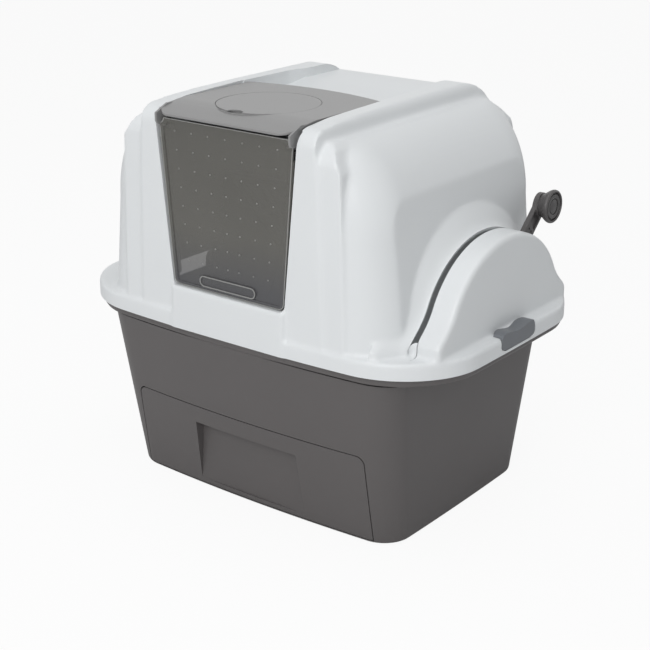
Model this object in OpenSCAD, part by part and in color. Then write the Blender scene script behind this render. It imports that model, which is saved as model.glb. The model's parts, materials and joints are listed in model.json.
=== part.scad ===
// Hooded cat litter box with a lever-driven sifting drum, a swing door and a pull-out waste drawer.
// Millimetres. Front is -Y, the lever side is +X, +Z is up. The origin is the centre of the tub's footprint.

/* [Tub] */
// Width of the tub where its straight side walls would meet the floor
tub_w = 509; // [490:1:530]
// Depth of the tub where its straight walls would meet the floor
tub_d = 372; // [360:1:384]
// Corner radius of the tub
tub_r = 42; // [30:1:50]
// Height of the tub up to the hood's lower edge
tub_h = 280; // [275:1:290]
// How far each end wall leans out over the height of the tub
tub_end_lean = 20; // [16:1:26]
// How far the front and back walls lean out over the height of the tub
tub_front_lean = 44; // [38:1:46]
// Thickness of the moulded walls
wall = 3; // [2.4:0.1:3.4]
// How far the front of the tub bows forward in the middle
tub_bow = 10; // [4:1:14]
// Height of the flared band that carries the hood
band_h = 38; // [34:1:44]

/* [Hood rim] */
// Width of the rim, end to end
rim_w = 683; // [676:1:700]
// Depth of the rim, front to back
rim_d = 478; // [476:1:490]
// Corner radius of the rim
rim_r = 124; // [100:1:130]
// Height of the rim's face
rim_h = 24; // [22:1:28]
// How far the rim's front bows forward in the middle
rim_bow = 17; // [10:1:18]

/* [Hood] */
// Height of the top of the hood above the floor
hood_h = 611; // [606:1:640]
// Width of the two end domes together, measured at the ledge
dome_w = 531; // [524:1:536]
// How much each dome leans in, per millimetre of height
dome_lean = 0.1; // [0.06:0.01:0.11]
// Distance from the centre to the front of the domes
dome_front = 227; // [222:1:229]
// Distance from the centre to the back of the domes
dome_back = 208; // [200:1:214]
// Edge radius of the domes
dome_r = 50; // [40:1:56]
// How far the domes stop below the top of the rails
dome_drop = 17; // [12:1:22]
// Distance from the centre to the front of the bridge that holds the door
bridge_front = 232; // [230:1:234]
// Width of the bridge across the outer edges of its rails
bridge_w = 314; // [308:1:330]
// How far the bridge's shoulders reach out over the domes on each side
shoulder_w = 43; // [36:1:50]

/* [Lever slot] */
// Height of the slot's crest above the ledge
bell_h = 136; // [130:1:140]
// Half the width of the slot's arch at the ledge
bell_w = 151; // [146:1:154]
// Width of the slot
slot_w = 9; // [9:0.5:12]
// How far the dome's wall flares out to the slot
slot_flare = 10; // [8:1:12]
// How far the lever housing stands out past the slot
mound_w = 36; // [34:1:38]

/* [Door and lid] */
// Height of the door opening's sill above the floor
sill_z = 345; // [340:1:352]
// Width of the door opening at the sill
door_low_w = 208; // [196:1:214]
// Width of the door opening at the top
door_high_w = 254; // [248:1:260]
// Thickness of the door
door_t = 3; // [2.4:0.1:3.2]
// Gap round the door
door_gap = 6; // [4:0.5:8]
// Radius of the round filter cover
cover_r = 73; // [60:1:76]
// Depth of the lid from its front edge to its back corners
lid_d = 206; // [200:1:214]

/* [Waste drawer] */
// Width of the drawer's face
drawer_w = 436; // [420:1:440]
// Height of the drawer's face
drawer_h = 139; // [132:1:141]
// Length of the drawer's tray, front to back
drawer_d = 326; // [300:1:330]
// Width of the drawer's finger scoop
scoop_w = 196; // [150:1:220]

/* [Drum] */
// Radius of the drum, to the outside of the litter pan
drum_r = 147; // [142:1:150]
// Height of the drum's axle above the floor
drum_z = 300; // [299:1:304]
// Distance from the drum's axle up to the lever's axle, two equal gears' pitch radii
gear_centres = 50; // [48:0.5:52]
// Number of teeth on each gear
gear_teeth = 20; // [18:1:24]
// Width of the gears
gear_w = 10; // [8:1:12]
// Radius of the drum's trunnions
trunnion_r = 12; // [10:0.5:12]
// Radius of the lever's shaft
shaft_r = 8; // [6:0.5:9]

/* [Lever] */
// Distance from the lever's axle to the bend in it
knee_r = 80; // [76:1:84]
// Length of the handle from the bend to the middle of the knob
handle_l = 105.5; // [100:0.5:110]
// Angle that the handle is bent up from the arm
lever_bend = 27; // [22:1:32]
// Angle of the resting arm above the horizontal
lever_rest = 16; // [14:0.5:18]
// Width of the lever's arm
lever_w = 26; // [22:1:28]
// Thickness of the lever's arm
lever_t = 7; // [6:0.5:7.5]
// Radius of the knob's face
knob_r = 25; // [22:0.5:27]
// Length of the knob
knob_l = 20; // [19:0.5:24]

/* [Latches] */
// Width of each latch
latch_w = 92; // [70:1:100]

/* [Hidden] */
$fn = 48;
far = 900;             // longer than anything that it cuts
eps = 0.02;            // overlap that keeps a cut clean
seat = 0.3;            // gap where two bodies rest on or slide past each other
fit = 0.05;            // running clearance of a shaft in its bush
ring_steps = 7;        // facets round one corner of a moulded wall
side_steps = 4;        // points along a bowed wall
end_bow = 0.17;        // how much the end walls bow, for each millimetre that the front bows

tub_floor = wall;
foot_round = 7;        // how far the tub's foot is rounded in
band_z = tub_h + rim_h - wall - seat - band_h;
band_top = tub_h + rim_h - wall - seat;
band_gap = 1;          // between the tub's band and the rim that hangs over it
rim_top = tub_h + rim_h;
rim_edge = 2.5;        // how far the rim's top edge is taken off
sill_edge = 1.2;       // how far the sill's front edge is taken off
sill_deep = 20;

dome_hw = dome_w / 2;
dome_top = hood_h - dome_drop;
bridge_back = dome_back + 6;
bridge_hw = bridge_w / 2;
shoulder_x = bridge_hw + shoulder_w;
bridge_r = 25;         // front edge of the rails
shoulder_r = 42;       // front edge of the shoulders
back_r = 80;           // back edge of the bridge
rail_dip = 4;          // how much lower the rails are at the front
flat_back = 105;       // where the bridge's top starts to fall to the back

slot_x = dome_hw + slot_flare;
mound_x = slot_x + slot_w;
mound_face = mound_x + mound_w;
mound_round = 7;
bell_flare = 55;
bell_flare_h = 58;
bell_foot = 184;
bell_draft = 0.002;    // draws the arch's feet in, by the square of the height
mound_foot = 173;
bell_steps = 14;
flare_in = 12;
flare_depth = 17;
slot_cut = 14;

lid_top = hood_h - 3;
lid_front = bridge_front + 8;
lid_t = 3;
lid_roll = 33;         // length over which the lid rolls down to its front edge
lid_drop = 11;         // how far it rolls down
lid_gap = 4;
lid_corner = 14;
lid_back = lid_d - lid_front;
lid_sill_z = hood_h - 22;   // top of the door opening, where the lid's opening starts
pocket_y = lid_back - 8;
cup_step = 10;
knuckle_l = 12;
lid_knuckle_r = 4;
lid_bow = 20;
lid_hw = door_high_w / 2 - lid_gap;
cover_y = -133;
cover_t = 3;
cover_gap = 0.4;
cup_h = 18;
filter_t = 8;
notch_r = 10;
pocket_floor = hood_h - 21;
pocket_back = 109;
pocket_top = hood_h - 9;
pocket_foot = 60;
pocket_hw = 103;
frame_d = 14;          // depth of the returns round the door opening
door_head = 30;        // from the top of the hood down to the door's top edge

door_y = -bridge_front + 1;
door_top = hood_h - door_head;
door_axis_z = door_top - 5;
door_axis_y = door_y + 9;
door_pin_r = 3;
door_knuckle_x = 104;
door_foot = 1.5;
knuckle_r = 5;
lid_axis_y = -bridge_front + 14;
lid_axis_z = lid_top - 18;
lid_pin_r = 2.5;
cheek_x = door_high_w / 2 + wall;
cheek_t = 4;
cheek_rim = 3.4;
pin_way = 1.4;           // clearance of the hinge pins where they pass through the rails
pull_w = 106;
pull_h = 17;

drawer_z = 6;
drawer_gap = 1.5;
drawer_hw = drawer_w / 2;
tray_in = 16;          // how much narrower the tray is than its front, at each side
tray_hw = drawer_hw - tray_in;
tray_wall = 2.5;
tray_h = 134;
tray_front = -tub_d / 2 + 14;
ring_h = 4;
ring_front = -tub_d / 2 - 10;
ring_w = 12;
scoop_depth = 17;
scoop_top = 115;
scoop_foot = 22;
corner_cut = 14;

gear_x = 210;
drum_x0 = -216;
drum_x1 = gear_x - 4;
drum_wall = 3;
end_wall = 4;
hub_r = 26;
flange_t = 3;
stand_x = gear_x + gear_w + 6;
stand_t = 8;
stand_hw = 60;
bush_wall = 4;
bush_over = 2;         // how far a bush stands out of its stand on each side
grate_from = 355;
grate_to = 86;
grate_t = 3;
grate_slot = 8;
grate_bar = 6;

lever_z = drum_z + gear_centres;
arm_x = slot_x + (slot_w - lever_t) / 2;
lap_r0 = 27;
lap_r1 = knee_r - lever_w / 2;
grip_l = 18;
arm_hub_r = 20;
boss_l = 14;
stud_r = 2.5;
head_r = 6.5;
head_t = 3;
cap_t = 6;
bracket_t = 5;
bracket_pad = 30;
bracket_x = stand_x + stand_t + bush_over + 4;
bracket_hw = 30;
bracket_top = rim_top + bell_h + 40;
knob_back_r = 18;
pin_r = 4;
knob_x = arm_x + lever_t + seat;
gear_backlash = 0.5;
pressure = 20;

latch_pin_r = 0.8;
latch_t = 3.4;
latch_gap = 0.6;
latch_x = (rim_w - latch_t) / 2;
latch_low = tub_h + 4;       // the rim runs on below the latch
latch_pin_z = latch_low + latch_t / 2;
latch_foot = latch_w / 2 - 7;   // half the width of the latch's foot
latch_foot_h = 4;
latch_top_t = 2.6;
latch_reach = 20;
latch_tab_in = 8;      // how much narrower the tab over the ledge is, at each end

shell_white = [0.90, 0.91, 0.92];
warm_grey = [0.36, 0.35, 0.34];
lid_grey = [0.50, 0.50, 0.50];
dark_grey = [0.22, 0.21, 0.21];
latch_grey = [0.45, 0.47, 0.49];
smoke = [0.30, 0.29, 0.27, 0.6];
steel = [0.70, 0.71, 0.72];
charcoal = [0.10, 0.10, 0.11];

// ---- outlines -------------------------------------------------------------------------------

// A closed loop at height z: a rectangle with round corners whose front and back bow outwards.
function loop(z, hw, front, back, r, bow) =
    let (corners = [[1, 1], [-1, 1], [-1, -1], [1, -1]])
    [for (k = [0:3])
        let (cx = corners[k][0] * (hw - r),
             cy = corners[k][1] > 0 ? back - r : -(front - r))
        each concat(
            [for (i = [0:ring_steps]) let (a = 90 * k + 90 * i / ring_steps)
                bowed([cx + r * cos(a), cy + r * sin(a)], hw, front, back, bow, z)],
            [for (i = [1:side_steps])
                let (next = corners[(k + 1) % 4],
                     nx = next[0] * (hw - r),
                     ny = next[1] > 0 ? back - r : -(front - r),
                     a = 90 * (k + 1),
                     from = [cx + r * cos(a), cy + r * sin(a)],
                     to = [nx + r * cos(a), ny + r * sin(a)])
                bowed(from + (to - from) * i / (side_steps + 1), hw, front, back, bow, z)])];

// Pulls a point in towards the middle, most at the corners, so that all four walls bow outwards.
function bowed(p, hw, front, back, bow, z) =
    let (reach = p[1] < 0 ? front : back)
    [p[0] * (1 - end_bow * bow / hw * pow(p[1] / reach, 2)), p[1] * (1 - bow / reach * pow(p[0] / hw, 2)), z];

// Skins loops that have equal numbers of points and closes both ends.
module skin(loops) {
    n = len(loops[0]);
    last = (len(loops) - 1) * n;
    polyhedron([for (l = loops, p = l) p], concat(
        [[for (i = [0:n - 1]) i]],
        [for (k = [0:len(loops) - 2], i = [0:n - 1])
            [k * n + i, (k + 1) * n + i, (k + 1) * n + (i + 1) % n]],
        [for (k = [0:len(loops) - 2], i = [0:n - 1])
            [k * n + i, (k + 1) * n + (i + 1) % n, k * n + (i + 1) % n]],
        [[for (i = [n - 1:-1:0]) last + i]]));
}

// Extrudes a Y-Z outline along X, from x0 to x1.
module along_x(x0, x1) {
    translate([x0, 0, 0]) rotate([90, 0, 90]) linear_extrude(x1 - x0) children();
}

// Mirrors its children to both ends.
module both_ends() {
    children();
    mirror([1, 0, 0]) children();
}

// A round bar along X.
module bar(x0, x1, r, y, z) {
    translate([x0, y, z]) rotate([0, 90, 0]) cylinder(h = x1 - x0, r = r);
}

// ---- tub ------------------------------------------------------------------------------------

function lean(z, over) = over * z / tub_h;

// The tub's outline at height z, drawn in by inset.
function tub_loop(z, inset) = loop(z,
    tub_w / 2 + lean(z, tub_end_lean) - inset,
    tub_d / 2 + lean(z, tub_front_lean) - inset,
    tub_d / 2 + lean(z, tub_front_lean) - inset,
    tub_r - inset, lean(z, rim_bow - tub_bow) + tub_bow);

// The flared band's outline, drawn in by inset.
function band_loop(z, inset) = loop(z, rim_w / 2 - wall - band_gap - inset,
    tub_d / 2 + tub_front_lean + 2 - inset, rim_d / 2 - wall - band_gap - inset,
    rim_r - wall - band_gap - inset, rim_bow);

module tub_solid(inset, floor_z, top_z) {
    skin([
        tub_loop(floor_z, inset + foot_round),
        tub_loop(floor_z + foot_round, inset + foot_round * 0.3),
        tub_loop(floor_z + 3 * foot_round, inset),
        tub_loop(band_z - inset, inset),
        band_loop(band_z + 8, inset),
        band_loop(top_z, inset)]);
}

module drawer_window(gap) {
    hw = drawer_hw + gap;
    low = drawer_z - 1 - gap;
    high = drawer_z + drawer_h + gap;
    rotate([90, 0, 0]) linear_extrude(far) polygon([
        [-hw, low], [hw, low], [hw, high - corner_cut], [hw - corner_cut, high],
        [-hw + corner_cut, high], [-hw, high - corner_cut]]);
}

module runner(x) {
    translate([x - 4, tray_front + 20, tub_floor - eps])
        cube([8, drawer_d - 60, drawer_z - tub_floor - seat + eps]);
}

module base_tub() color(warm_grey) {
    difference() {
        tub_solid(0, 0, band_top);
        tub_solid(wall, tub_floor, band_top + 1);
        drawer_window(0);
    }
    both_ends() runner(tray_hw - 60);
}

// ---- drum stands ----------------------------------------------------------------------------

module stand(x0) {
    difference() {
        along_x(x0, x0 + stand_t) union() {
            polygon([[-stand_hw, tub_floor], [stand_hw, tub_floor], [trunnion_r + 8, drum_z],
                [-trunnion_r - 8, drum_z]]);
            translate([0, drum_z]) circle(r = trunnion_r + 8);
        }
        bar(x0 - 1, x0 + stand_t + 1, trunnion_r + bush_wall, 0, drum_z);
        along_x(x0 - 1, x0 + stand_t + 1) polygon([[-stand_hw + 30, tub_floor + 20],
            [stand_hw - 30, tub_floor + 20], [8, drum_z - 60], [-8, drum_z - 60]]);
    }
    for (s = [-1, 1])
        translate([x0, s * (stand_hw - 10) - 10, tub_floor]) cube([stand_t + 8, 20, 4]);
}

module stand_right() color(warm_grey) stand(stand_x);
module stand_left() color(warm_grey) mirror([1, 0, 0]) stand(stand_x);

module drum_bush(x0) {
    difference() {
        bar(x0 - bush_over, x0 + stand_t + bush_over, trunnion_r + bush_wall, 0, drum_z);
        bar(x0 - far / 2, x0 + far / 2, trunnion_r + fit, 0, drum_z);
    }
}

module drum_bush_right() color(charcoal) drum_bush(stand_x);
module drum_bush_left() color(charcoal) mirror([1, 0, 0]) drum_bush(stand_x);

module stand_screws() color(steel) both_ends() {
    for (s = [-1, 1])
        translate([stand_x + stand_t + 4, s * (stand_hw - 10), tub_floor + 4]) cylinder(h = 2.4, r = 3.5);
}

// ---- waste drawer ---------------------------------------------------------------------------

module scoop() {
    along_x(-scoop_w / 2, scoop_w / 2) polygon([
        [-far, scoop_foot], [-tub_d / 2 - lean(scoop_foot, tub_front_lean), scoop_foot],
        [-tub_d / 2 - lean(scoop_top, tub_front_lean) + scoop_depth, scoop_top - 8],
        [-tub_d / 2 - lean(scoop_top, tub_front_lean) + scoop_depth - 5, scoop_top],
        [-far, scoop_top]]);
}

module scoop_shell() {
    along_x(-scoop_w / 2 - tray_wall, scoop_w / 2 + tray_wall) polygon([
        [-tub_d / 2 + 2, scoop_foot - 8], [-tub_d / 2 + 6, scoop_foot - 8],
        [-tub_d / 2 - lean(scoop_top, tub_front_lean) + scoop_depth + tray_wall, scoop_top - 8],
        [-tub_d / 2 - lean(scoop_top, tub_front_lean) + scoop_depth - 3, scoop_top + tray_wall],
        [-tub_d / 2 - lean(scoop_top, tub_front_lean) + 1, scoop_top + tray_wall]]);
}

module drawer_face() {
    intersection() {
        difference() {
            tub_solid(0, 0, band_top);
            tub_solid(wall, tub_floor - 2 * foot_round, band_top + 1);
        }
        drawer_window(-drawer_gap);
    }
}

// The tray's block, from its back wall forward to the drawer's face.
module tray_block(inset, low, high) {
    intersection() {
        translate([-tray_hw + inset, -far, low])
            cube([2 * (tray_hw - inset), far + tray_front + drawer_d - inset, high - low]);
        tub_solid(inset > 0 ? wall : 0, -2 * foot_round, band_top);
    }
}

module waste_drawer() color(warm_grey) {
    difference() {
        union() {
            drawer_face();
            difference() {
                tray_block(0, drawer_z, drawer_z + tray_h);
                tray_block(tray_wall, drawer_z + tray_wall, drawer_z + drawer_h);
            }
            intersection() {
                scoop_shell();
                tub_solid(1, 0, band_top);
            }
        }
        scoop();
    }
}

module bag_ring() color(dark_grey) {
    back = tray_front + drawer_d;
    difference() {
        translate([-tray_hw, ring_front, drawer_z + tray_h]) cube([2 * tray_hw, back - ring_front, ring_h]);
        translate([-tray_hw + ring_w, ring_front + ring_w, drawer_z])
            cube([2 * (tray_hw - ring_w), back - ring_front - 2 * ring_w, far]);
    }
}

// ---- drum -----------------------------------------------------------------------------------

// A pie slice from angle a0 to a1, at least as large as the drum.
module slice(a0, a1) {
    polygon(concat([[0, 0]], [for (i = [0:12]) let (a = a0 + (a1 - a0) * i / 12)
        2 * drum_r * [cos(a), sin(a)]]));
}

module drum_wall_section(a0, a1) {
    translate([0, drum_z]) intersection() {
        difference() {
            circle(r = drum_r, $fn = 96);
            circle(r = drum_r - drum_wall, $fn = 96);
        }
        slice(a0, a1);
    }
}

module end_section() {
    translate([0, drum_z]) {
        intersection() {
            circle(r = drum_r - drum_wall, $fn = 96);
            slice(180, 360);
        }
        intersection() {
            circle(r = drum_r - drum_wall, $fn = 96);
            slice(0, grate_to);
        }
        circle(r = hub_r);
    }
}

module litter_pan() color(warm_grey) {
    difference() {
        union() {
            along_x(drum_x0, drum_x1) drum_wall_section(180, 360);
            along_x(drum_x0, drum_x0 + end_wall) end_section();
            along_x(drum_x1 - end_wall, drum_x1) end_section();
        }
        bar(-far, far, trunnion_r, 0, drum_z);
    }
}

module reservoir_cover() color(warm_grey) {
    along_x(drum_x0, drum_x1) drum_wall_section(0, grate_to);
}

module sifting_grate() color(dark_grey) {
    reach = drum_r - drum_wall - 0.1;
    x0 = drum_x0 + end_wall;
    x1 = drum_x1 - end_wall;
    a = reach * [cos(grate_from), sin(grate_from)];
    b = reach * [cos(grate_to - 4), sin(grate_to - 4)];
    len = norm(b - a);
    turn = atan2(b[1] - a[1], b[0] - a[0]);
    count = floor((x1 - x0 - 2 * grate_bar) / (grate_slot + grate_bar));
    pitch = (x1 - x0 - grate_bar) / count;
    translate([0, a[0], drum_z + a[1]]) rotate([turn, 0, 0]) difference() {
        translate([x0, 2, 1.5]) cube([x1 - x0, len - 6, grate_t]);
        for (i = [0:count - 1], half = [0, 1])
            translate([x0 + grate_bar + i * pitch, 12 + half * (len / 2 - 8), 0])
                cube([pitch - grate_bar, len / 2 - 22, 2 * grate_t + 3]);
    }
}

module trunnion(x0, x1, flange_x) {
    bar(x0, x1, trunnion_r, 0, drum_z);
    difference() {
        bar(flange_x, flange_x + flange_t, hub_r, 0, drum_z);
        bar(flange_x - 1, flange_x + flange_t + 1, trunnion_r, 0, drum_z);
    }
}

module trunnion_right() color(dark_grey)
    trunnion(drum_x1 - end_wall, stand_x + stand_t + bush_over + 2, drum_x1);

module trunnion_left() color(dark_grey) mirror([1, 0, 0])
    trunnion(-drum_x0 - end_wall, stand_x + stand_t + bush_over + 2, -drum_x0);

module trunnion_screws() color(steel) {
    for (a = [30, 150, 270]) {
        bar(drum_x1 - end_wall - 2, drum_x1 - end_wall, 3, (hub_r - 6) * cos(a), drum_z + (hub_r - 6) * sin(a));
        bar(drum_x0 + end_wall, drum_x0 + end_wall + 2, 3, (hub_r - 6) * cos(a), drum_z + (hub_r - 6) * sin(a));
    }
}

// ---- gears ----------------------------------------------------------------------------------

function involute(base, t) = base * [cos(t) + t * PI / 180 * sin(t), sin(t) - t * PI / 180 * cos(t)];

function turned(p, a) = [p[0] * cos(a) - p[1] * sin(a), p[0] * sin(a) + p[1] * cos(a)];

// A spur gear's outline with involute flanks; shift turns it by a part of a tooth.
module gear_outline(shift) {
    module_size = gear_centres / gear_teeth;
    pitch_r = gear_centres / 2;
    base_r = pitch_r * cos(pressure);
    tip_r = pitch_r + 0.9 * module_size;
    root_r = pitch_r - 1.25 * module_size;
    roll_pitch = sqrt(pow(pitch_r / base_r, 2) - 1) * 180 / PI;
    roll_tip = sqrt(pow(tip_r / base_r, 2) - 1) * 180 / PI;
    half = 90 / gear_teeth - gear_backlash / 2 / pitch_r * 180 / PI + roll_pitch - atan(roll_pitch * PI / 180);
    flank_steps = 5;
    difference() {
        circle(r = root_r);
        circle(r = shaft_r / 4);
    }
    for (i = [0:gear_teeth - 1]) rotate(360 / gear_teeth * (i + shift)) polygon(concat(
        [turned([root_r - 1, 0], -half)],
        [for (k = [0:flank_steps]) turned(involute(base_r, roll_tip * k / flank_steps), -half)],
        [for (k = [flank_steps:-1:0])
            let (p = turned(involute(base_r, roll_tip * k / flank_steps), -half)) [p[0], -p[1]]],
        [turned([root_r - 1, 0], half)]));
}

module spur(z, shift, bore) {
    difference() {
        along_x(gear_x, gear_x + gear_w) translate([0, z]) gear_outline(shift);
        bar(gear_x - 1, gear_x + gear_w + 1, bore, 0, z);
    }
}

module drum_gear() color(dark_grey) spur(drum_z, 0, trunnion_r);
module lever_gear() color(dark_grey) spur(lever_z, 0.5, shaft_r);

// ---- hood -----------------------------------------------------------------------------------

function dome_loop(z, inset, shrink) = loop(z,
    dome_hw - dome_lean * (z - rim_top) - inset - shrink,
    dome_front - inset - shrink, dome_back - inset - shrink,
    max(dome_r - inset - shrink, 3), 0);

module dome(inset, low) {
    straight = dome_top - dome_r;
    hull() skin(concat(
        [dome_loop(low, inset, 0), dome_loop(straight, inset, 0)],
        [for (a = [18:18:90]) dome_loop(straight - inset + dome_r * sin(a), inset, (dome_r - 4) * (1 - cos(a)))]));
}

// The bridge's outline in the Y-Z plane, closed at height low.
function bridge_outline(inset, low, front, top, r, back) =
    let (f = front - inset, t = top - inset, b = back - inset, rr = r - inset / 2)
    concat(
        [[-f, low]],
        [for (a = [0:15:90]) [-f + rr - rr * cos(a), t - rail_dip - rr + rr * sin(a)]],
        [[-60, t], [flat_back, t]],
        [for (a = [75:-15:0]) [b - back_r * (1 - cos(a)), t - back_r * (1 - sin(a))]],
        [[b, low]]);

function slab(outline, x) = [for (p = outline) [x, p[0], p[1]]];

module bridge(inset, low) {
    high = bridge_outline(inset, low, bridge_front, hood_h, bridge_r, bridge_back);
    side = bridge_outline(inset, low, dome_front, dome_top, shoulder_r, dome_back);
    hull() skin([
        slab(side, shoulder_x - inset), slab(high, bridge_hw - inset),
        slab(high, -bridge_hw + inset), slab(side, -shoulder_x + inset)]);
}

module rim(inset, low, high) {
    hw = rim_w / 2 - inset;
    d = rim_d / 2 - inset;
    edge = max(rim_edge - inset, seat);
    hull() skin([
        loop(low, hw, d, d, rim_r - inset, rim_bow),
        loop(high - edge, hw, d, d, rim_r - inset, rim_bow),
        loop(high, hw - edge, d - edge, d - edge, rim_r - inset - edge, rim_bow)]);
}

module sill(inset) {
    hw = door_low_w / 2 - inset;
    front = rim_d / 2 - inset;
    high = sill_z - tub_h;
    hull() {
        translate([-hw, -front, tub_h - inset]) cube([2 * hw, sill_deep, high - sill_edge]);
        translate([-hw, sill_edge - front, tub_h - inset]) cube([2 * hw, sill_deep - sill_edge, high]);
    }
}

// Half the width of the slot's arch at height h above the ledge.
function bell_half(h, inset, foot) =
    let (k = min(h / (bell_h - inset), 1))
    min((bell_w - inset) * sqrt(1 - k * k)
        + bell_flare * pow(max(0, 1 - h / bell_flare_h), 2), foot - inset - bell_draft * h * h);

function bell_outline(inset, drop) = concat(
    [for (i = [0:bell_steps]) let (h = (bell_h - inset) * sin(90 * i / bell_steps))
        [-bell_half(h, inset, bell_foot), rim_top + h]],
    [for (i = [bell_steps - 1:-1:0]) let (h = (bell_h - inset) * sin(90 * i / bell_steps))
        [bell_half(h, inset, bell_foot), rim_top + h]],
    [for (s = [1, -1]) [s * bell_half(0, inset, bell_foot), rim_top - drop]]);

// One level of the lever housing, its outer edges rounded.
module mound_layer(h, inset, x0) {
    half = max(bell_half(h, inset, mound_foot), eps);
    r = min(mound_round, half);
    face = mound_face - inset - max(0, h - bell_h + inset + mound_round) / 2;
    translate([0, 0, rim_top + h]) linear_extrude(eps) polygon([
        [x0, -half], [face - r, -half], [face - 0.3 * r, -half + 0.3 * r], [face, -half + r],
        [face, half - r], [face - 0.3 * r, half - 0.3 * r], [face - r, half], [x0, half]]);
}

// The lever housing's outside, or its inside when drawn in by inset.
module mound(inset, drop, x0) {
    levels = concat([-drop], [for (i = [0:bell_steps]) (bell_h - inset) * sin(90 * i / bell_steps)]);
    for (i = [0:bell_steps]) hull() {
        mound_layer(levels[i], inset, x0);
        mound_layer(levels[i + 1], inset, x0);
    }
}

// The wall that flares from the dome out to the slot's inner edge.
module slot_lip(inset) {
    skin([
        slab(bell_outline(inset, wall), slot_x),
        slab(bell_outline(inset - flare_in * 0.35, wall), slot_x - slot_flare * 0.4),
        slab(bell_outline(inset - flare_in, wall), slot_x - slot_flare - flare_depth)]);
}

module door_outline(grow) {
    polygon([
        [-door_low_w / 2 - grow, sill_z - grow], [door_low_w / 2 + grow, sill_z - grow],
        [door_high_w / 2 + grow, lid_sill_z], [-door_high_w / 2 - grow, lid_sill_z]]);
}

module door_hole() {
    rotate([90, 0, 0]) linear_extrude(far) door_outline(0);
}

module door_returns() {
    translate([0, -bridge_front + frame_d, 0]) rotate([90, 0, 0]) linear_extrude(frame_d - 1)
        door_outline(wall);
}

module lid_hole() {
    translate([-door_high_w / 2, -far, lid_sill_z - eps]) cube([door_high_w, far + pocket_y - wall, far]);
    translate([-door_high_w / 2, -far, lid_top - lid_t - seat]) cube([door_high_w, far + pocket_y + eps, far]);
}

module pocket(grow) {
    intersection() {
        along_x(-door_high_w / 2 - grow, door_high_w / 2 + grow) polygon([
            [pocket_y - grow, far], [pocket_y - grow, pocket_floor - grow],
            [pocket_foot, pocket_floor - grow], [pocket_back + grow, pocket_top - grow],
            [pocket_back + grow, far]]);
        linear_extrude(far) polygon([
            [-door_high_w / 2 - grow, pocket_y - grow], [door_high_w / 2 + grow, pocket_y - grow],
            [door_high_w / 2 + grow, pocket_foot], [pocket_hw + grow, pocket_back + grow],
            [-pocket_hw - grow, pocket_back + grow], [-door_high_w / 2 - grow, pocket_foot]]);
    }
}

module rail_skirts() {
    both_ends() translate([door_high_w / 2, -bridge_front + 1, door_axis_z - 8])
        cube([wall, bridge_front + pocket_y - 1, hood_h]);
}

module hood_outer(inset, low) {
    rim(inset, low, rim_top - inset);
    dome(inset, low);
    bridge(inset, low);
    sill(inset);
}

module hood_shell() color(shell_white) {
    difference() {
        union() {
            difference() {
                hood_outer(0, tub_h);
                difference() {
                    hood_outer(wall, tub_h - 1);
                    pocket(wall);
                    door_returns();
                    rail_skirts();
                }
            }
            slot_lip(0);
        }
        slot_lip(wall);
        along_x(slot_x, mound_x) polygon(bell_outline(-slot_cut, 0));
        mound(wall, 4 * wall, mound_x - slot_w - slot_flare);
        door_hole();
        lid_hole();
        pocket(0);
        both_ends() along_x(latch_x - latch_t / 2 - latch_gap, far) latch_outline(latch_gap);
        bar(-cheek_x, cheek_x, door_pin_r + pin_way, door_axis_y, door_axis_z);
        bar(-cheek_x, cheek_x, lid_pin_r + pin_way, lid_axis_y, lid_axis_z);
        both_ends() latch_pin();
    }
}

// The cover over the lever's hub, standing on the ledge.
module lever_housing() color(shell_white) {
    difference() {
        mound(0, 0, mound_x);
        mound(wall, 2 * wall, mound_x - slot_w - slot_flare);
    }
}

// ---- hinge cheeks ---------------------------------------------------------------------------

// A plate behind the rail with the bores for the door's pin and the lid's pin.
module hinge_cheek() {
    difference() {
        union() {
            bar(cheek_x, cheek_x + cheek_t, door_pin_r + cheek_rim, door_axis_y, door_axis_z);
            bar(cheek_x, cheek_x + cheek_t, lid_pin_r + cheek_rim, lid_axis_y, lid_axis_z);
            along_x(cheek_x, cheek_x + cheek_t) polygon([
                [door_axis_y - door_pin_r, door_axis_z], [lid_axis_y - lid_pin_r, lid_axis_z],
                [lid_axis_y + lid_pin_r, lid_axis_z], [door_axis_y + door_pin_r + 2, door_axis_z]]);
        }
        bar(cheek_x - 1, cheek_x + cheek_t + 1, door_pin_r + fit, door_axis_y, door_axis_z);
        bar(cheek_x - 1, cheek_x + cheek_t + 1, lid_pin_r + fit, lid_axis_y, lid_axis_z);
    }
}

module hinge_cheek_right() color(shell_white) hinge_cheek();
module hinge_cheek_left() color(shell_white) mirror([1, 0, 0]) hinge_cheek();

// ---- lever bearings -------------------------------------------------------------------------

module lever_bracket() color(dark_grey) {
    difference() {
        intersection() {
            union() {
                translate([bracket_x, -bracket_hw, lever_z]) cube([bracket_t, 2 * bracket_hw, bracket_top - lever_z]);
                bar(bracket_x, bracket_x + bracket_t, bracket_hw, 0, lever_z);
                translate([bracket_x, -bracket_hw, bracket_top - bracket_pad])
                    cube([far, 2 * bracket_hw, bracket_pad]);
            }
            dome(wall, tub_h);
        }
        bar(bracket_x - 1, bracket_x + bracket_t + 1, shaft_r + bush_wall, 0, lever_z);
    }
}

module lever_bush() color(charcoal) {
    difference() {
        bar(bracket_x - bush_over, bracket_x + bracket_t + bush_over, shaft_r + bush_wall, 0, lever_z);
        bar(bracket_x - far, bracket_x + far, shaft_r + fit, 0, lever_z);
    }
}

module lever_boss() color(dark_grey) {
    inner = mound_face - wall;
    difference() {
        bar(inner - boss_l, inner, shaft_r + bush_wall + 2, 0, lever_z);
        bar(inner - boss_l - 1, inner + 1, shaft_r + fit, 0, lever_z);
    }
}

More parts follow.
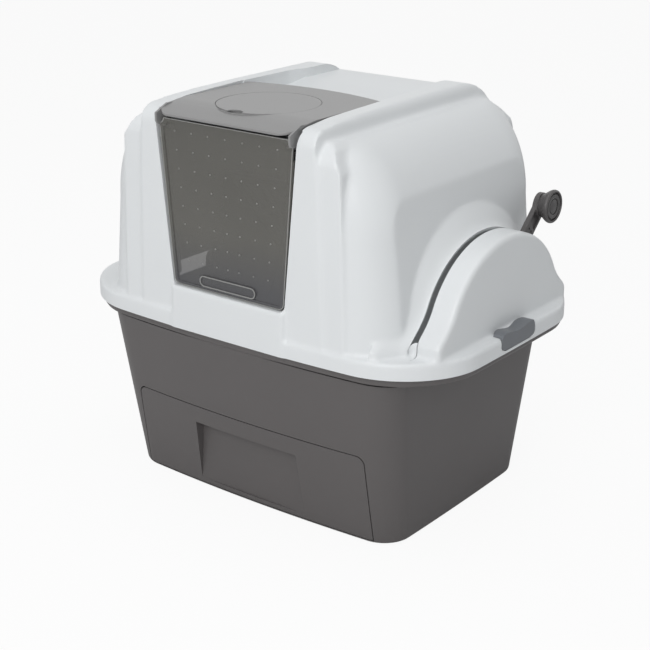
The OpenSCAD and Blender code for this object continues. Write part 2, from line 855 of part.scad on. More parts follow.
module bracket_screws() color(steel) {
    for (s = [-1, 1])
        bar(bracket_x - 2.4, bracket_x, 4, s * (bracket_hw - 10), bracket_top - bracket_pad / 2);
}

// ---- lever ----------------------------------------------------------------------------------

// Puts a shape that lies along +Y from the lever's axle where the resting lever is.
module at_rest() {
    translate([0, 0, lever_z]) rotate([lever_rest, 0, 0]) children();
}

// A point of the lever's outline, u along the bent handle from the bend and v across it.
function past_bend(u, v) = [
    knee_r + u * cos(lever_bend) - v * sin(lever_bend), u * sin(lever_bend) + v * cos(lever_bend)];

// Puts a shape that stands on the lever's plane at the middle of the knob.
module at_knob() {
    at_rest() translate([0, knee_r, 0]) rotate([lever_bend, 0, 0]) translate([0, handle_l, 0]) children();
}

module lever_shaft() color(steel) {
    bar(gear_x - 1, mound_face - wall - 1, shaft_r, 0, lever_z);
}

module lever_arm() color(warm_grey) {
    at_rest() difference() {
        union() {
            along_x(arm_x, arm_x + lever_t) union() {
                circle(r = arm_hub_r);
                translate([0, -lever_w / 2]) square([lap_r0, lever_w]);
            }
            along_x(arm_x, arm_x + lever_t / 2) translate([lap_r0, -lever_w / 2])
                square([lap_r1 - lap_r0, lever_w]);
        }
        bar(arm_x - 1, arm_x + lever_t + 1, shaft_r, 0, 0);
        for (r = [lap_r0 + 12, lap_r1 - 12])
            bar(arm_x - 1, arm_x + lever_t + 1, stud_r, r, 0);
    }
}

// The bent end of the lever, with a shallow recess below the knob.
module lever_handle() color(warm_grey) {
    mitre = lever_w / 2 * tan(lever_bend / 2);
    grip_at = handle_l - knob_back_r - 2 - grip_l;
    at_rest() difference() {
        union() {
            along_x(arm_x + lever_t / 2, arm_x + lever_t) translate([lap_r0, -lever_w / 2])
                square([lap_r1 - lap_r0, lever_w]);
            along_x(arm_x, arm_x + lever_t) polygon([
                [lap_r1, -lever_w / 2], [knee_r + mitre, -lever_w / 2],
                past_bend(handle_l, -lever_w / 2), past_bend(handle_l, lever_w / 2),
                [knee_r - mitre, lever_w / 2], [lap_r1, lever_w / 2]]);
            along_x(arm_x, arm_x + lever_t) translate(past_bend(handle_l, 0)) circle(r = knob_back_r);
        }
        along_x(arm_x + lever_t - 1.5, arm_x + lever_t + 1) polygon([
            past_bend(grip_at, 3 - lever_w / 2), past_bend(grip_at + grip_l, 3 - lever_w / 2),
            past_bend(grip_at + grip_l, lever_w / 2 - 3), past_bend(grip_at, lever_w / 2 - 3)]);
        translate([arm_x - 1, past_bend(handle_l, 0)[0], past_bend(handle_l, 0)[1]]) rotate([0, 90, 0])
            cylinder(h = lever_t + 2, r = pin_r);
        for (r = [lap_r0 + 12, lap_r1 - 12])
            bar(arm_x - 1, arm_x + lever_t + 1, stud_r, r, 0);
    }
}

module lever_studs() color(dark_grey) at_rest() {
    for (r = [lap_r0 + 12, lap_r1 - 12])
        bar(arm_x, arm_x + lever_t, stud_r, r, 0);
}

module knob_pin() color(steel) at_knob() {
    bar(arm_x, knob_x + knob_l * 0.5, pin_r, 0, 0);
    bar(knob_x + knob_l * 0.5, knob_x + knob_l * 0.5 + head_t, head_r, 0, 0);
}

// Turns an outline about the knob's axis; its x is the radius and its y the distance along the knob.
module on_knob() {
    at_knob() translate([knob_x, 0, 0]) rotate([0, 90, 0]) rotate_extrude() children();
}

module knob() color(dark_grey) {
    on_knob() polygon([
        [pin_r + fit, 0], [knob_back_r - 2, 0], [knob_back_r, 2],
        [knob_r - 3, knob_l * 0.55], [knob_r, knob_l * 0.7], [knob_r, knob_l - 3], [knob_r - 3, knob_l],
        [knob_r - 6, knob_l], [knob_r - 6, knob_l - cap_t], [head_r + seat, knob_l - cap_t],
        [head_r + seat, knob_l * 0.5 - seat], [pin_r + fit, knob_l * 0.5 - seat]]);
}

module knob_cap() color(lid_grey) {
    on_knob() polygon([
        [0, knob_l - cap_t], [knob_r - 6, knob_l - cap_t], [knob_r - 6, knob_l - 1],
        [knob_r - 9, knob_l - 1], [knob_r - 10, knob_l - 2.5], [knob_r - 12, knob_l - 2.5],
        [knob_r - 13, knob_l - 1], [0, knob_l - 1]]);
}

// ---- lid ------------------------------------------------------------------------------------

// Height of the lid's top surface, rolling down to its front edge.
function lid_line(inset) = [for (i = [0:6])
    let (u = i / 6) [-lid_front + inset + lid_roll * u, lid_top - inset - lid_drop * pow(1 - u, 2)]];

module lid_section() {
    polygon(concat(lid_line(0), [[far, lid_top], [far, lid_top - lid_t]],
        [for (i = [6:-1:0]) lid_line(lid_t)[i]], [[-lid_front, lid_top - lid_drop - lid_t]]));
}

module lid_plan(inset) {
    hw = lid_hw - inset;
    r = lid_corner;
    polygon(concat(
        [[-hw + r, -lid_front], [hw - r, -lid_front]],
        [for (a = [-75:15:0]) [hw - r + r * cos(a), -lid_front + r + r * sin(a)]],
        [for (i = [0:8]) let (x = hw * (1 - i / 4)) [x, lid_back + lid_bow * (1 - pow(x / hw, 2))]],
        [for (a = [180:15:255]) [-hw + r + r * cos(a), -lid_front + r + r * sin(a)]]));
}

module top_lid() color(lid_grey) {
    well = cover_r + cover_gap;
    cup = well - cup_step;
    difference() {
        union() {
            intersection() {
                along_x(-lid_hw, lid_hw) lid_section();
                linear_extrude(far) lid_plan(0);
            }
            translate([0, cover_y, lid_top - 2 * lid_t]) cylinder(h = lid_t + eps, r = well + lid_t);
            translate([0, cover_y, lid_top - cup_h]) cylinder(h = cup_h - 2 * lid_t + eps, r = cup);
            both_ends() {
                bar(lid_hw - knuckle_l, lid_hw, lid_knuckle_r, lid_axis_y, lid_axis_z);
                translate([lid_hw - knuckle_l, lid_axis_y - 2, lid_axis_z])
                    cube([knuckle_l, 4, lid_top - lid_t - 0.5 - lid_axis_z]);
            }
        }
        translate([0, cover_y, lid_top - lid_t]) cylinder(h = far, r = well);
        translate([0, cover_y, lid_top - cup_h + 2]) cylinder(h = far, r = cup - 2.5);
        for (s = [-3:3])
            translate([-cup * 0.55, cover_y + s * cup / 5 - 2.5, 0]) cube([cup * 1.1, 5, far]);
        translate([-cover_r * sin(45), cover_y - cover_r * cos(45), lid_top - lid_t])
            cylinder(h = far, r = notch_r);
        both_ends() bar(lid_hw - knuckle_l - 1, lid_hw + 1, lid_pin_r, lid_axis_y, lid_axis_z);
    }
}

module lid_pins() color(steel) both_ends() {
    bar(lid_hw - knuckle_l, cheek_x + cheek_t, lid_pin_r, lid_axis_y, lid_axis_z);
}

module carbon_filter() color(charcoal) {
    translate([0, cover_y, lid_top - cup_h + 2])
        cylinder(h = filter_t, r = cover_r + cover_gap - cup_step - 2.5);
}

module filter_cover() color(lid_grey) {
    difference() {
        translate([0, cover_y, lid_top - lid_t + seat]) cylinder(h = cover_t - seat, r = cover_r);
        translate([-cover_r * sin(45), cover_y - cover_r * cos(45), 0]) cylinder(h = far, r = notch_r * 0.6);
    }
}

// ---- swing door -----------------------------------------------------------------------------

// Half the width of the door opening at height z.
function door_half(z) = (door_low_w + (door_high_w - door_low_w) * (z - sill_z) / (lid_sill_z - sill_z)) / 2;

module swing_door() color(smoke) {
    low = sill_z + door_foot;
    difference() {
        union() {
            translate([0, door_y + door_t, 0]) rotate([90, 0, 0]) linear_extrude(door_t) polygon([
                [-door_half(low) + door_gap, low], [door_half(low) - door_gap, low],
                [door_half(door_top) - door_gap, door_top], [-door_half(door_top) + door_gap, door_top]]);
            translate([0, door_y + eps, low + pull_h]) rotate([90, 0, 0]) linear_extrude(2) {
                square([pull_w - pull_h, pull_h], center = true);
                for (s = [-1, 1]) translate([s * (pull_w - pull_h) / 2, 0]) circle(d = pull_h);
            }
            both_ends() {
                bar(door_knuckle_x, door_knuckle_x + knuckle_l, knuckle_r, door_axis_y, door_axis_z);
                translate([door_knuckle_x, door_y + door_t - eps, door_axis_z - knuckle_r])
                    cube([knuckle_l, door_axis_y - door_y - door_t, 2 * knuckle_r]);
            }
        }
        both_ends() bar(door_knuckle_x - 1, door_knuckle_x + knuckle_l + 1, door_pin_r, door_axis_y, door_axis_z);
    }
}

module door_pin() {
    bar(door_knuckle_x, cheek_x + cheek_t, door_pin_r, door_axis_y, door_axis_z);
}

module door_pin_right() color(steel) door_pin();
module door_pin_left() color(steel) mirror([1, 0, 0]) door_pin();

// ---- latches --------------------------------------------------------------------------------

module along_y(hw) {
    translate([0, hw, 0]) rotate([90, 0, 0]) linear_extrude(2 * hw) children();
}

// The latch's face in the Y-Z plane, larger by grow all round.
module latch_outline(grow) {
    foot = latch_foot + grow;
    hw = latch_w / 2 + grow;
    low = latch_low - grow;
    bend = latch_low + latch_foot_h;
    polygon([[-foot, low], [foot, low], [foot, bend], [hw, bend + hw - foot], [hw, far], [-hw, far],
        [-hw, bend + hw - foot], [-foot, bend]]);
}

module latch_pin() {
    hw = latch_foot + latch_gap + latch_t;
    translate([latch_x, hw, latch_pin_z]) rotate([90, 0, 0]) cylinder(h = 2 * hw, r = latch_pin_r);
}

module latch() {
    face = rim_w / 2;
    top = rim_top + latch_top_t;
    difference() {
        union() {
            along_y(latch_foot) translate([latch_x, latch_pin_z]) circle(r = latch_t / 2);
            intersection() {
                along_x(face - latch_t, face) latch_outline(0);
                translate([0, -far / 2, latch_pin_z]) cube([far, far, top - latch_pin_z]);
            }
            translate([face - latch_reach, -latch_w / 2 + latch_tab_in, rim_top + seat])
                cube([latch_reach - eps, latch_w - 2 * latch_tab_in, latch_top_t - seat]);
        }
        translate([latch_x, far / 2, latch_pin_z]) rotate([90, 0, 0])
            cylinder(h = far, r = latch_pin_r + fit);
    }
}

module latch_right() color(latch_grey) latch();
module latch_left() color(latch_grey) mirror([1, 0, 0]) latch();
module latch_pin_right() color(steel) latch_pin();
module latch_pin_left() color(steel) mirror([1, 0, 0]) latch_pin();

// ---- what is drawn --------------------------------------------------------------------------

base_tub();
stand_left();
stand_right();
drum_bush_left();
drum_bush_right();
stand_screws();
waste_drawer();
bag_ring();
litter_pan();
reservoir_cover();
sifting_grate();
trunnion_left();
trunnion_right();
drum_gear();
trunnion_screws();
hood_shell();
lever_housing();
hinge_cheek_left();
hinge_cheek_right();
lever_bracket();
lever_bush();
lever_boss();
bracket_screws();
lever_shaft();
lever_gear();
lever_arm();
lever_handle();
lever_studs();
knob_pin();
knob();
knob_cap();
top_lid();
lid_pins();
carbon_filter();
filter_cover();
swing_door();
door_pin_left();
door_pin_right();
latch_left();
latch_right();
latch_pin_left();
latch_pin_right();
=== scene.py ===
import json
import math
import bpy
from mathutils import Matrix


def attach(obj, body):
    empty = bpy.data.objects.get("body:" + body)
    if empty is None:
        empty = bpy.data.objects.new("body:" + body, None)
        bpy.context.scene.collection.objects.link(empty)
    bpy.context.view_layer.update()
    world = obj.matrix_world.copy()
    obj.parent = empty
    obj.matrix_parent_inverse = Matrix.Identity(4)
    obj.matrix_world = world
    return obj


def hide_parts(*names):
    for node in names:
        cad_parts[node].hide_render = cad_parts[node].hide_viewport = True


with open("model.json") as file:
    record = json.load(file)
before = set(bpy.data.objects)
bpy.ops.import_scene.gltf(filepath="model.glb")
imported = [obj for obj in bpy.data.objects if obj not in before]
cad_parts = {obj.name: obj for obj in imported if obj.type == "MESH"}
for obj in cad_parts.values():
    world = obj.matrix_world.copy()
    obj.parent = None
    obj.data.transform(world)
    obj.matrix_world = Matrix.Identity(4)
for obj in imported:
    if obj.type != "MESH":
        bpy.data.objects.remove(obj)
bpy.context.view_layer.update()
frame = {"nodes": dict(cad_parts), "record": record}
print("frame loaded")

mm = 0.001

# ---- small helpers for modelling ----


def pickNone():
    if bpy.context.object and bpy.context.object.mode != "OBJECT":
        bpy.ops.object.mode_set(mode="OBJECT")
    bpy.ops.object.select_all(action="DESELECT")


def pickOnly(piece):
    pickNone()
    piece.select_set(True)
    bpy.context.view_layer.objects.active = piece


def namePiece(name):
    piece = bpy.context.object
    piece.name = name
    piece.data.name = name
    return piece


def arc(cx, cy, r, fromDeg, toDeg, steps, squash=1.0):
    points = []
    for i in range(steps + 1):
        a = math.radians(fromDeg + (toDeg - fromDeg) * i / steps)
        points.append((cx + r * math.cos(a), cy + r * squash * math.sin(a)))
    return points


def place(axis, u, v, w):
    # u and v lie in the outline's plane, w runs along the axis
    return {"x": (w, u, v), "y": (u, w, v), "z": (u, v, w)}[axis]


def setPoints(piece, points):
    for vertex, p in zip(piece.data.vertices, points):
        vertex.co = [c * mm for c in p]
    piece.data.update()


def faceOut(piece):
    pickOnly(piece)
    bpy.ops.object.mode_set(mode="EDIT")
    bpy.ops.mesh.select_all(action="SELECT")
    bpy.ops.mesh.normals_make_consistent(inside=False)
    bpy.ops.object.mode_set(mode="OBJECT")


def span(side, near, far):
    # a stretch of x on the left (-1) or the right (1), its low end first
    return min(side * near, side * far), max(side * near, side * far)


def bothSides(half):
    # an outline drawn on the right and closed by its mirror image
    return half + [(-u, v) for u, v in reversed(half)]


def prism(name, outline, axis, low, high):
    # an outline drawn in one plane, given a length along the axis
    pickNone()
    count = len(outline)
    bpy.ops.mesh.primitive_cylinder_add(vertices=count, radius=1, depth=2)
    piece = namePiece(name)
    points = []
    for vertex in piece.data.vertices:
        i = vertex.index // 2
        u, v = outline[i]
        points.append(place(axis, u, v, low if vertex.co.z < 0 else high))
    setPoints(piece, points)
    faceOut(piece)
    return piece


def pickHoles():
    bpy.ops.mesh.select_all(action="DESELECT")
    bpy.ops.mesh.select_non_manifold(extend=False, use_wire=False, use_boundary=True,
                                     use_multi_face=False, use_non_contiguous=False,
                                     use_verts=False)


def shell(name, rows):
    # closed rings of points, one above the other, joined into a closed skin
    pickNone()
    around = len(rows[0])
    bpy.ops.mesh.primitive_grid_add(x_subdivisions=around, y_subdivisions=len(rows) - 1)
    piece = namePiece(name)
    setPoints(piece, [row[i % around] for row in rows for i in range(around + 1)])
    bpy.ops.object.mode_set(mode="EDIT")
    bpy.ops.mesh.select_all(action="SELECT")
    bpy.ops.mesh.remove_doubles(threshold=0.00001)
    pickHoles()
    bpy.ops.mesh.edge_face_add()
    pickHoles()
    bpy.ops.mesh.fill_holes(sides=0)
    bpy.ops.object.mode_set(mode="OBJECT")
    faceOut(piece)
    return piece


def block(name, low, high):
    pickNone()
    bpy.ops.mesh.primitive_cube_add(size=1)
    piece = namePiece(name)
    setPoints(piece, [[high[k] if v.co[k] > 0 else low[k] for k in range(3)] for v in piece.data.vertices])
    return piece


def modify(piece, kind, **settings):
    pickOnly(piece)
    modifier = piece.modifiers.new(kind.lower(), kind)
    for key, value in settings.items():
        setattr(modifier, key, value)
    bpy.ops.object.modifier_apply(modifier=modifier.name)


def combine(piece, tool, way="DIFFERENCE"):
    modify(piece, "BOOLEAN", operation=way, object=tool, solver="EXACT")
    bpy.data.objects.remove(tool)


def join(pieces, name):
    pickOnly(pieces[0])
    for piece in pieces:
        piece.select_set(True)
    bpy.ops.object.join()
    return namePiece(name)


def copyOf(piece, name):
    pickOnly(piece)
    bpy.ops.object.duplicate(linked=False)
    return namePiece(name)


def mirrored(piece, name):
    other = copyOf(piece, name)
    for vertex in other.data.vertices:
        vertex.co.x = -vertex.co.x
    other.data.flip_normals()
    return other


def smoothBy(piece, degrees):
    pickOnly(piece)
    bpy.ops.object.shade_smooth_by_angle(angle=math.radians(degrees))


def evenShade(piece):
    # keeps large flat faces flat beside their small rounded edges
    modify(piece, "WEIGHTED_NORMAL", keep_sharp=True, weight=60)


def done(piece, body, material, slot, *nodes):
    piece.data.materials.clear()
    piece.data.materials.append(material)
    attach(piece, body)
    if nodes:
        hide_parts(*nodes)
    print("made", piece.name, len(piece.data.polygons))


# ---- materials ----


class Wire:
    # a socket that takes part in arithmetic
    def __init__(self, sheet, socket):
        self.sheet = sheet
        self.socket = socket

    def _math(self, operation, a, b):
        return self.sheet.add("ShaderNodeMath", {"operation": operation}, {0: a, 1: b})

    def __add__(self, other):
        return self._math("ADD", self, other)

    __radd__ = __add__

    def __mul__(self, other):
        return self._math("MULTIPLY", self, other)

    __rmul__ = __mul__


class Sheet:
    # one material's node tree
    def __init__(self, name):
        self.material = bpy.data.materials.new(name)
        self.material.use_nodes = True
        self.tree = self.material.node_tree
        self.tree.nodes.clear()
        self.output = self.tree.nodes.new("ShaderNodeOutputMaterial")
        self.shader = self.tree.nodes.new("ShaderNodeBsdfPrincipled")
        self.tree.links.new(self.shader.outputs[0], self.output.inputs["Surface"])

    def add(self, kind, settings=None, sockets=None, out=0):
        node = self.tree.nodes.new(kind)
        for key, value in (settings or {}).items():
            setattr(node, key, value)
        for key, value in (sockets or {}).items():
            if isinstance(value, Wire):
                self.tree.links.new(value.socket, node.inputs[key])
            else:
                node.inputs[key].default_value = value
        return Wire(self, node.outputs[out])

    def place(self):
        return self.add("ShaderNodeTexCoord", out="Object")

    def noise(self, scale, detail=3.0, rough=0.5):
        return self.add("ShaderNodeTexNoise", {}, {"Vector": self.place(), "Scale": scale, "Detail": detail,
                                                   "Roughness": rough})

    def between(self, factor, first, second):
        return self.add("ShaderNodeMix", {"data_type": "RGBA"}, {0: factor, 6: first, 7: second}, out=2)

    def set(self, **values):
        for key, value in values.items():
            socket = self.shader.inputs[key.replace("_", " ")]
            if isinstance(value, Wire):
                self.tree.links.new(value.socket, socket)
            else:
                socket.default_value = value

    def bump(self, height, strength, distance):
        return self.add("ShaderNodeBump", {}, {"Strength": strength, "Distance": distance, "Height": height})


def moulded(name, colour, roughness, grain, drift):
    # moulded plastic: a faint cloudy drift of colour and a fine sparked grain
    sheet = Sheet(name)
    cloud = sheet.noise(9.0, 4.0)
    grains = sheet.noise(1400.0, 2.0)
    dark = [c * (1 - drift) for c in colour] + [1.0]
    light = [min(c * (1 + drift), 1.0) for c in colour] + [1.0]
    sheet.set(Base_Color=sheet.between(cloud, dark, light),
              Roughness=roughness - 0.06 + grains * 0.12,
              Normal=sheet.bump(grains, grain, 0.0002))
    sheet.shader.inputs["Specular IOR Level"].default_value = 0.45
    return sheet.material


def clearSmoke(name, colour, low, alpha):
    # smoked plastic with a faint haze; painted shade: the colour darkens and cools towards the foot, standing
    # in for the shade inside the hood behind the door
    sheet = Sheet(name)
    haze = sheet.noise(5.0, 3.0)
    height = sheet.add("ShaderNodeSeparateXYZ", {}, {0: sheet.place()}, 2)
    # painted shade: this mask fades from the darker, cooler foot colour up to the warm tint above
    paintedShadeFade = sheet.add("ShaderNodeMapRange", {"clamp": True}, {0: height + haze * 0.06, 1: 0.39, 2: 0.47})
    warm = sheet.between(haze, [c * 0.88 for c in colour] + [1.0], [c * 1.12 for c in colour] + [1.0])
    sheet.set(Base_Color=sheet.between(paintedShadeFade, list(low) + [1.0], warm), Roughness=0.10 + haze * 0.06)
    sheet.shader.inputs["Alpha"].default_value = alpha
    sheet.shader.inputs["Specular IOR Level"].default_value = 0.6
    return sheet.material


def drawnSteel(name):
    sheet = Sheet(name)
    lines = sheet.add("ShaderNodeTexNoise", {}, {"Vector": sheet.place(), "Scale": 600.0, "Detail": 2.0})
    sheet.set(Base_Color=sheet.between(lines, [0.42, 0.42, 0.43, 1.0], [0.55, 0.55, 0.56, 1.0]),
              Roughness=0.28 + lines * 0.14, Metallic=1.0)
    return sheet.material


def felt(name):
    sheet = Sheet(name)
    fluff = sheet.noise(900.0, 4.0, 0.7)
    sheet.set(Base_Color=sheet.between(fluff, [0.012, 0.012, 0.013, 1.0], [0.05, 0.05, 0.052, 1.0]),
              Roughness=0.95, Normal=sheet.bump(fluff, 0.8, 0.001))
    return sheet.material


finishes = {
    "tub": moulded("tubPlastic", (0.112, 0.104, 0.103), 0.46, 0.35, 0.03),
    "hood": moulded("hoodPlastic", (0.78, 0.80, 0.81), 0.38, 0.15, 0.012),
    "lid": moulded("lidPlastic", (0.27, 0.268, 0.268), 0.40, 0.25, 0.02),
    "trimDark": moulded("darkPlastic", (0.075, 0.07, 0.07), 0.42, 0.3, 0.04),
    "lever": moulded("leverPlastic", (0.085, 0.08, 0.08), 0.40, 0.3, 0.04),
    "latch": moulded("latchPlastic", (0.165, 0.175, 0.19), 0.40, 0.25, 0.03),
    "bush": moulded("bushPlastic", (0.04, 0.04, 0.04), 0.35, 0.2, 0.04),
    # the door's last colour is the painted shade at its foot
    "door": clearSmoke("smokedPlastic", (0.158, 0.153, 0.138), (0.115, 0.115, 0.122), 0.70),
    # pale plastic of the door's nubs; also the colour of the painted edge highlights on the door
    "nub": moulded("nubAndEdgeHighlightPlastic", (0.30, 0.30, 0.29), 0.3, 0.1, 0.02),
    "knobFace": moulded("knobPlastic", (0.075, 0.072, 0.072), 0.36, 0.2, 0.03),
    "steel": drawnSteel("pinSteel"),
    "filter": felt("charcoalFelt"),
}

slotFinish = {"tub": "tub", "hood": "hood", "lid": "lid", "trim_dark": "trimDark", "latch": "latch",
              "door": "door", "bush": "bush", "steel": "steel", "filter": "filter"}
for part in frame["record"]["subparts"]:
    node = frame["nodes"][part["node"]]
    look = finishes[slotFinish[part["material_slot"]]]
    for slot in node.material_slots:
        slot.link = "OBJECT"
        slot.material = look
print("materials set")

# ---- outlines shared by the mouldings ----


def bowedRing(z, halfWidth, front, back, radius, bow, endBow, cornerSteps=14, sideSteps=20):
    ring = []
    corners = [(1, 1), (-1, 1), (-1, -1), (1, -1)]

    def bowed(x, y):
        reach = front if y < 0 else back
        return (x * (1 - endBow / halfWidth * (y / reach) ** 2),
                y * (1 - bow / reach * (x / halfWidth) ** 2), z)

    for k, (sx, sy) in enumerate(corners):
        cx = sx * (halfWidth - radius)
        cy = (back - radius) if sy > 0 else -(front - radius)
        for i in range(cornerSteps + 1):
            a = math.radians(90 * k + 90 * i / cornerSteps)
            ring.append(bowed(cx + radius * math.cos(a), cy + radius * math.sin(a)))
        nextX, nextY = corners[(k + 1) % 4]
        nx = nextX * (halfWidth - radius)
        ny = (back - radius) if nextY > 0 else -(front - radius)
        a = math.radians(90 * (k + 1))
        x0, y0 = cx + radius * math.cos(a), cy + radius * math.sin(a)
        x1, y1 = nx + radius * math.cos(a), ny + radius * math.sin(a)
        for i in range(1, sideSteps + 1):
            t = i / (sideSteps + 1)
            ring.append(bowed(x0 + (x1 - x0) * t, y0 + (y1 - y0) * t))
    return ring


# ---- tub ----

tub = {"halfWidth": 254.5, "lean": 20, "halfDepth": 186, "depthLean": 44, "radius": 44,
       "bowLow": 10, "bowHigh": 17, "endBow": 2.5, "height": 280, "lipLow": 259, "top": 300.7,
       "bandHalfWidth": 337.5, "bandFront": 232,
       "bandBack": 235, "bandRadius": 120, "wall": 3, "foot": 7}


def tubRing(z, inset):
    share = z / tub["height"]
    halfWidth = tub["halfWidth"] + tub["lean"] * share - inset
    halfDepth = tub["halfDepth"] + tub["depthLean"] * share - inset
    bow = tub["bowLow"] + (tub["bowHigh"] - tub["bowLow"]) * share
    return bowedRing(z, halfWidth, halfDepth, halfDepth, tub["radius"] - inset, bow, tub["endBow"])


def bandRing(z, inset, share=1.0):
    # share 0 is the tub's wall, 1 the band that carries the hood
    low = tubRing(z, inset)
    high = bowedRing(z, tub["bandHalfWidth"] - inset, tub["bandFront"] - inset, tub["bandBack"] - inset,
                     tub["bandRadius"] - inset, tub["bowHigh"], 3)
    return [tuple(a + (b - a) * share for a, b in zip(p, q)) for p, q in zip(low, high)]


def tubSolid(name, inset, floorZ, topZ):
    foot = tub["foot"]
    rows = []
    for i in range(7):
        a = math.radians(90 * i / 6)
        rows.append(tubRing(floorZ + foot * (1 - math.cos(a)), inset + foot * (1 - math.sin(a))))
    for z in (20, 60, 110, 160, 210, 240):
        rows.append(tubRing(z, inset))
    low = tub["lipLow"] - inset
    for share, rise in ((0.0, 0.0), (0.04, 3.0), (0.12, 5.5), (0.3, 7.2), (0.6, 8.4), (0.88, 9.4),
                        (0.97, 11), (1.0, 13.5)):
        rows.append(bandRing(low + rise, inset, share))
    rows.append(bandRing(topZ, inset))
    return shell(name, rows)


def drawerWindow(name, gap):
    halfWidth, low, high = 218 + gap, 5 - gap, 145 + gap
    taper = 3.2
    r = 13
    outline = [(-halfWidth - taper, low), (halfWidth + taper, low)]
    outline += arc(halfWidth - r, high - r, r, 4, 90, 8)
    outline += arc(-halfWidth + r, high - r, r, 90, 176, 8)
    return prism(name, outline, "y", -400, -120)


tubPiece = tubSolid("tubBody", 0, 0, tub["top"])
combine(tubPiece, tubSolid("tubInside", tub["wall"], tub["wall"], tub["top"] + 2))
combine(tubPiece, drawerWindow("drawerHole", 0))
smoothBy(tubPiece, 32)
done(tubPiece, "base", finishes["tub"], "tub", "base_tub")

# ---- waste drawer ----

drawer = {"windowGap": -1.5, "trayHalf": 202, "trayBack": 154, "floor": 6, "trayTop": 140, "wall": 2.5,
          "scoopHalfTop": 97, "scoopHalfLow": 102, "scoopTop": 115, "scoopFoot": 14, "scoopDeep": 19}


def frontAt(z):
    return -(tub["halfDepth"] + tub["depthLean"] * z / tub["height"])


facePiece = tubSolid("drawerFront", 0, 0, tub["top"])
combine(facePiece, tubSolid("faceInside", tub["wall"], -14, tub["top"] + 2))
combine(facePiece, drawerWindow("faceCut", drawer["windowGap"]), "INTERSECT")
traySide = [(frontAt(drawer["floor"]) + 2, drawer["floor"]), (drawer["trayBack"], drawer["floor"]),
            (drawer["trayBack"], drawer["trayTop"]),
            (frontAt(drawer["trayTop"]) + 6, drawer["trayTop"])]
trayPiece = prism("drawerTray", traySide, "x", -drawer["trayHalf"], drawer["trayHalf"])
combine(trayPiece, tubSolid("trayTrim", 1.0, 0, tub["top"]), "INTERSECT")
hollow = block("trayHollow",
               (-drawer["trayHalf"] + drawer["wall"], -400, drawer["floor"] + drawer["wall"]),
               (drawer["trayHalf"] - drawer["wall"], drawer["trayBack"] - drawer["wall"], 300))
combine(hollow, tubSolid("hollowTrim", 3.2, -14, tub["top"]), "INTERSECT")
combine(trayPiece, hollow)
combine(facePiece, trayPiece, "UNION")


def scoopSolid(name, grow):
    top, foot = drawer["scoopTop"] + grow, drawer["scoopFoot"] - grow
    deep = drawer["scoopDeep"] + grow
    section = [(frontAt(top) - 30, top), (frontAt(top) + deep - 7, top)]
    section += arc(frontAt(top) + deep - 7, top - 7, 7, 80, 0, 5)[1:]
    section += [(frontAt(60) + deep * 0.55, 60), (frontAt(foot) + 1.5, foot), (frontAt(foot) - 30, foot)]
    piece = prism(name, section, "x", -120, 120)
    sides = [(-drawer["scoopHalfTop"] - grow, top + 1), (-drawer["scoopHalfLow"] - grow, foot - 1),
             (drawer["scoopHalfLow"] + grow, foot - 1), (drawer["scoopHalfTop"] + grow, top + 1)]
    combine(piece, prism("scoopSides", sides, "y", -400, 0), "INTERSECT")
    return piece


scoopWall = scoopSolid("scoopWall", 2.5)
combine(scoopWall, tubSolid("scoopTrim", 0.5, 0, tub["top"]), "INTERSECT")
combine(facePiece, scoopWall, "UNION")
combine(facePiece, scoopSolid("scoopHollow", 0))
smoothBy(facePiece, 32)
facePiece.name = "drawerBody"
done(facePiece, "drawer", finishes["tub"], "tub", "waste_drawer")

# ---- hood ----

hood = {"rimHalf": 341.5, "rimDepth": 239, "rimRadius": 124, "rimBow": 17, "rimEndBow": 3,
        "rimLow": 280, "rimTop": 304, "rimWall": 3, "wall": 3.4, "domeTop": 606, "panelLow": 306,
        "top": 611, "channelTop": 597, "front": 227, "back": 208, "cornerRadius": 76,
        "sideFlat": 265.5, "sideLean": 0.1,
        "sideProud": 4.6, "roundFrom": 451, "roundHigh": 136, "roundWide": 97,
        "bridgeFront": 232, "bridgeBack": 214,
        "voxel": 0.0030, "smoothSteps": 4}


def sideAt(z):
    return hood["sideFlat"] - hood["sideLean"] * (z - hood["panelLow"])


def domeRings(inset, low):
    # the dome's plan at rising heights: leaning sides that round over into the top
    start = sideAt(hood["roundFrom"]) + hood["sideProud"]
    levels = [(z, sideAt(z) + hood["sideProud"]) for z in (low, 330, 380, 430)]
    for i in range(19):
        a = math.radians(90 * i / 18)
        levels.append((hood["roundFrom"] + (hood["roundHigh"] - inset) * math.sin(a),
                       start - hood["roundWide"] * (1 - math.cos(a))))
    return [bowedRing(z, half - inset, hood["front"] - inset, hood["back"] - inset,
                      hood["cornerRadius"] - inset, 0, 0) for z, half in levels]


def domeProfile(inset, low):
    # the dome seen from the side: upright front, tight shoulder, gently rising top
    f, b, top = hood["front"] - inset, hood["back"] - inset, hood["domeTop"] - inset
    points = [(-f, low), (-f + 1, 500)]
    points += arc(-f + 27, 553 - inset * 0.5, 26, 180, 100, 10)
    points += [(-184, top - 20), (-150, top - 14), (-119, top - 9), (-60, top - 3), (0, top), (90, top)]
    points += arc(b - 70, top - 70, 70, 78, 0, 8)
    points += [(b + 2, low)]
    return points


def domeSolid(name, inset, low):
    piece = shell(name, domeRings(inset, low))
    combine(piece, prism("domeSide", domeProfile(inset, low - 5), "x", -300, 300), "INTERSECT")
    return piece


def bridgeProfile(inset, low):
    f, b, top = hood["bridgeFront"] - inset, hood["bridgeBack"] - inset, hood["top"] - inset
    points = [(-f, low), (-f, 560)]
    points += arc(-f + 25, top - 7 - 25, 25, 180, 96, 10)
    points += [(-163, top - 2.7), (-107, top - 1.2), (-45, top), (100, top)]
    points += arc(b - 80, top - 80, 80, 84, 0, 9)
    points += [(b, low)]
    return points


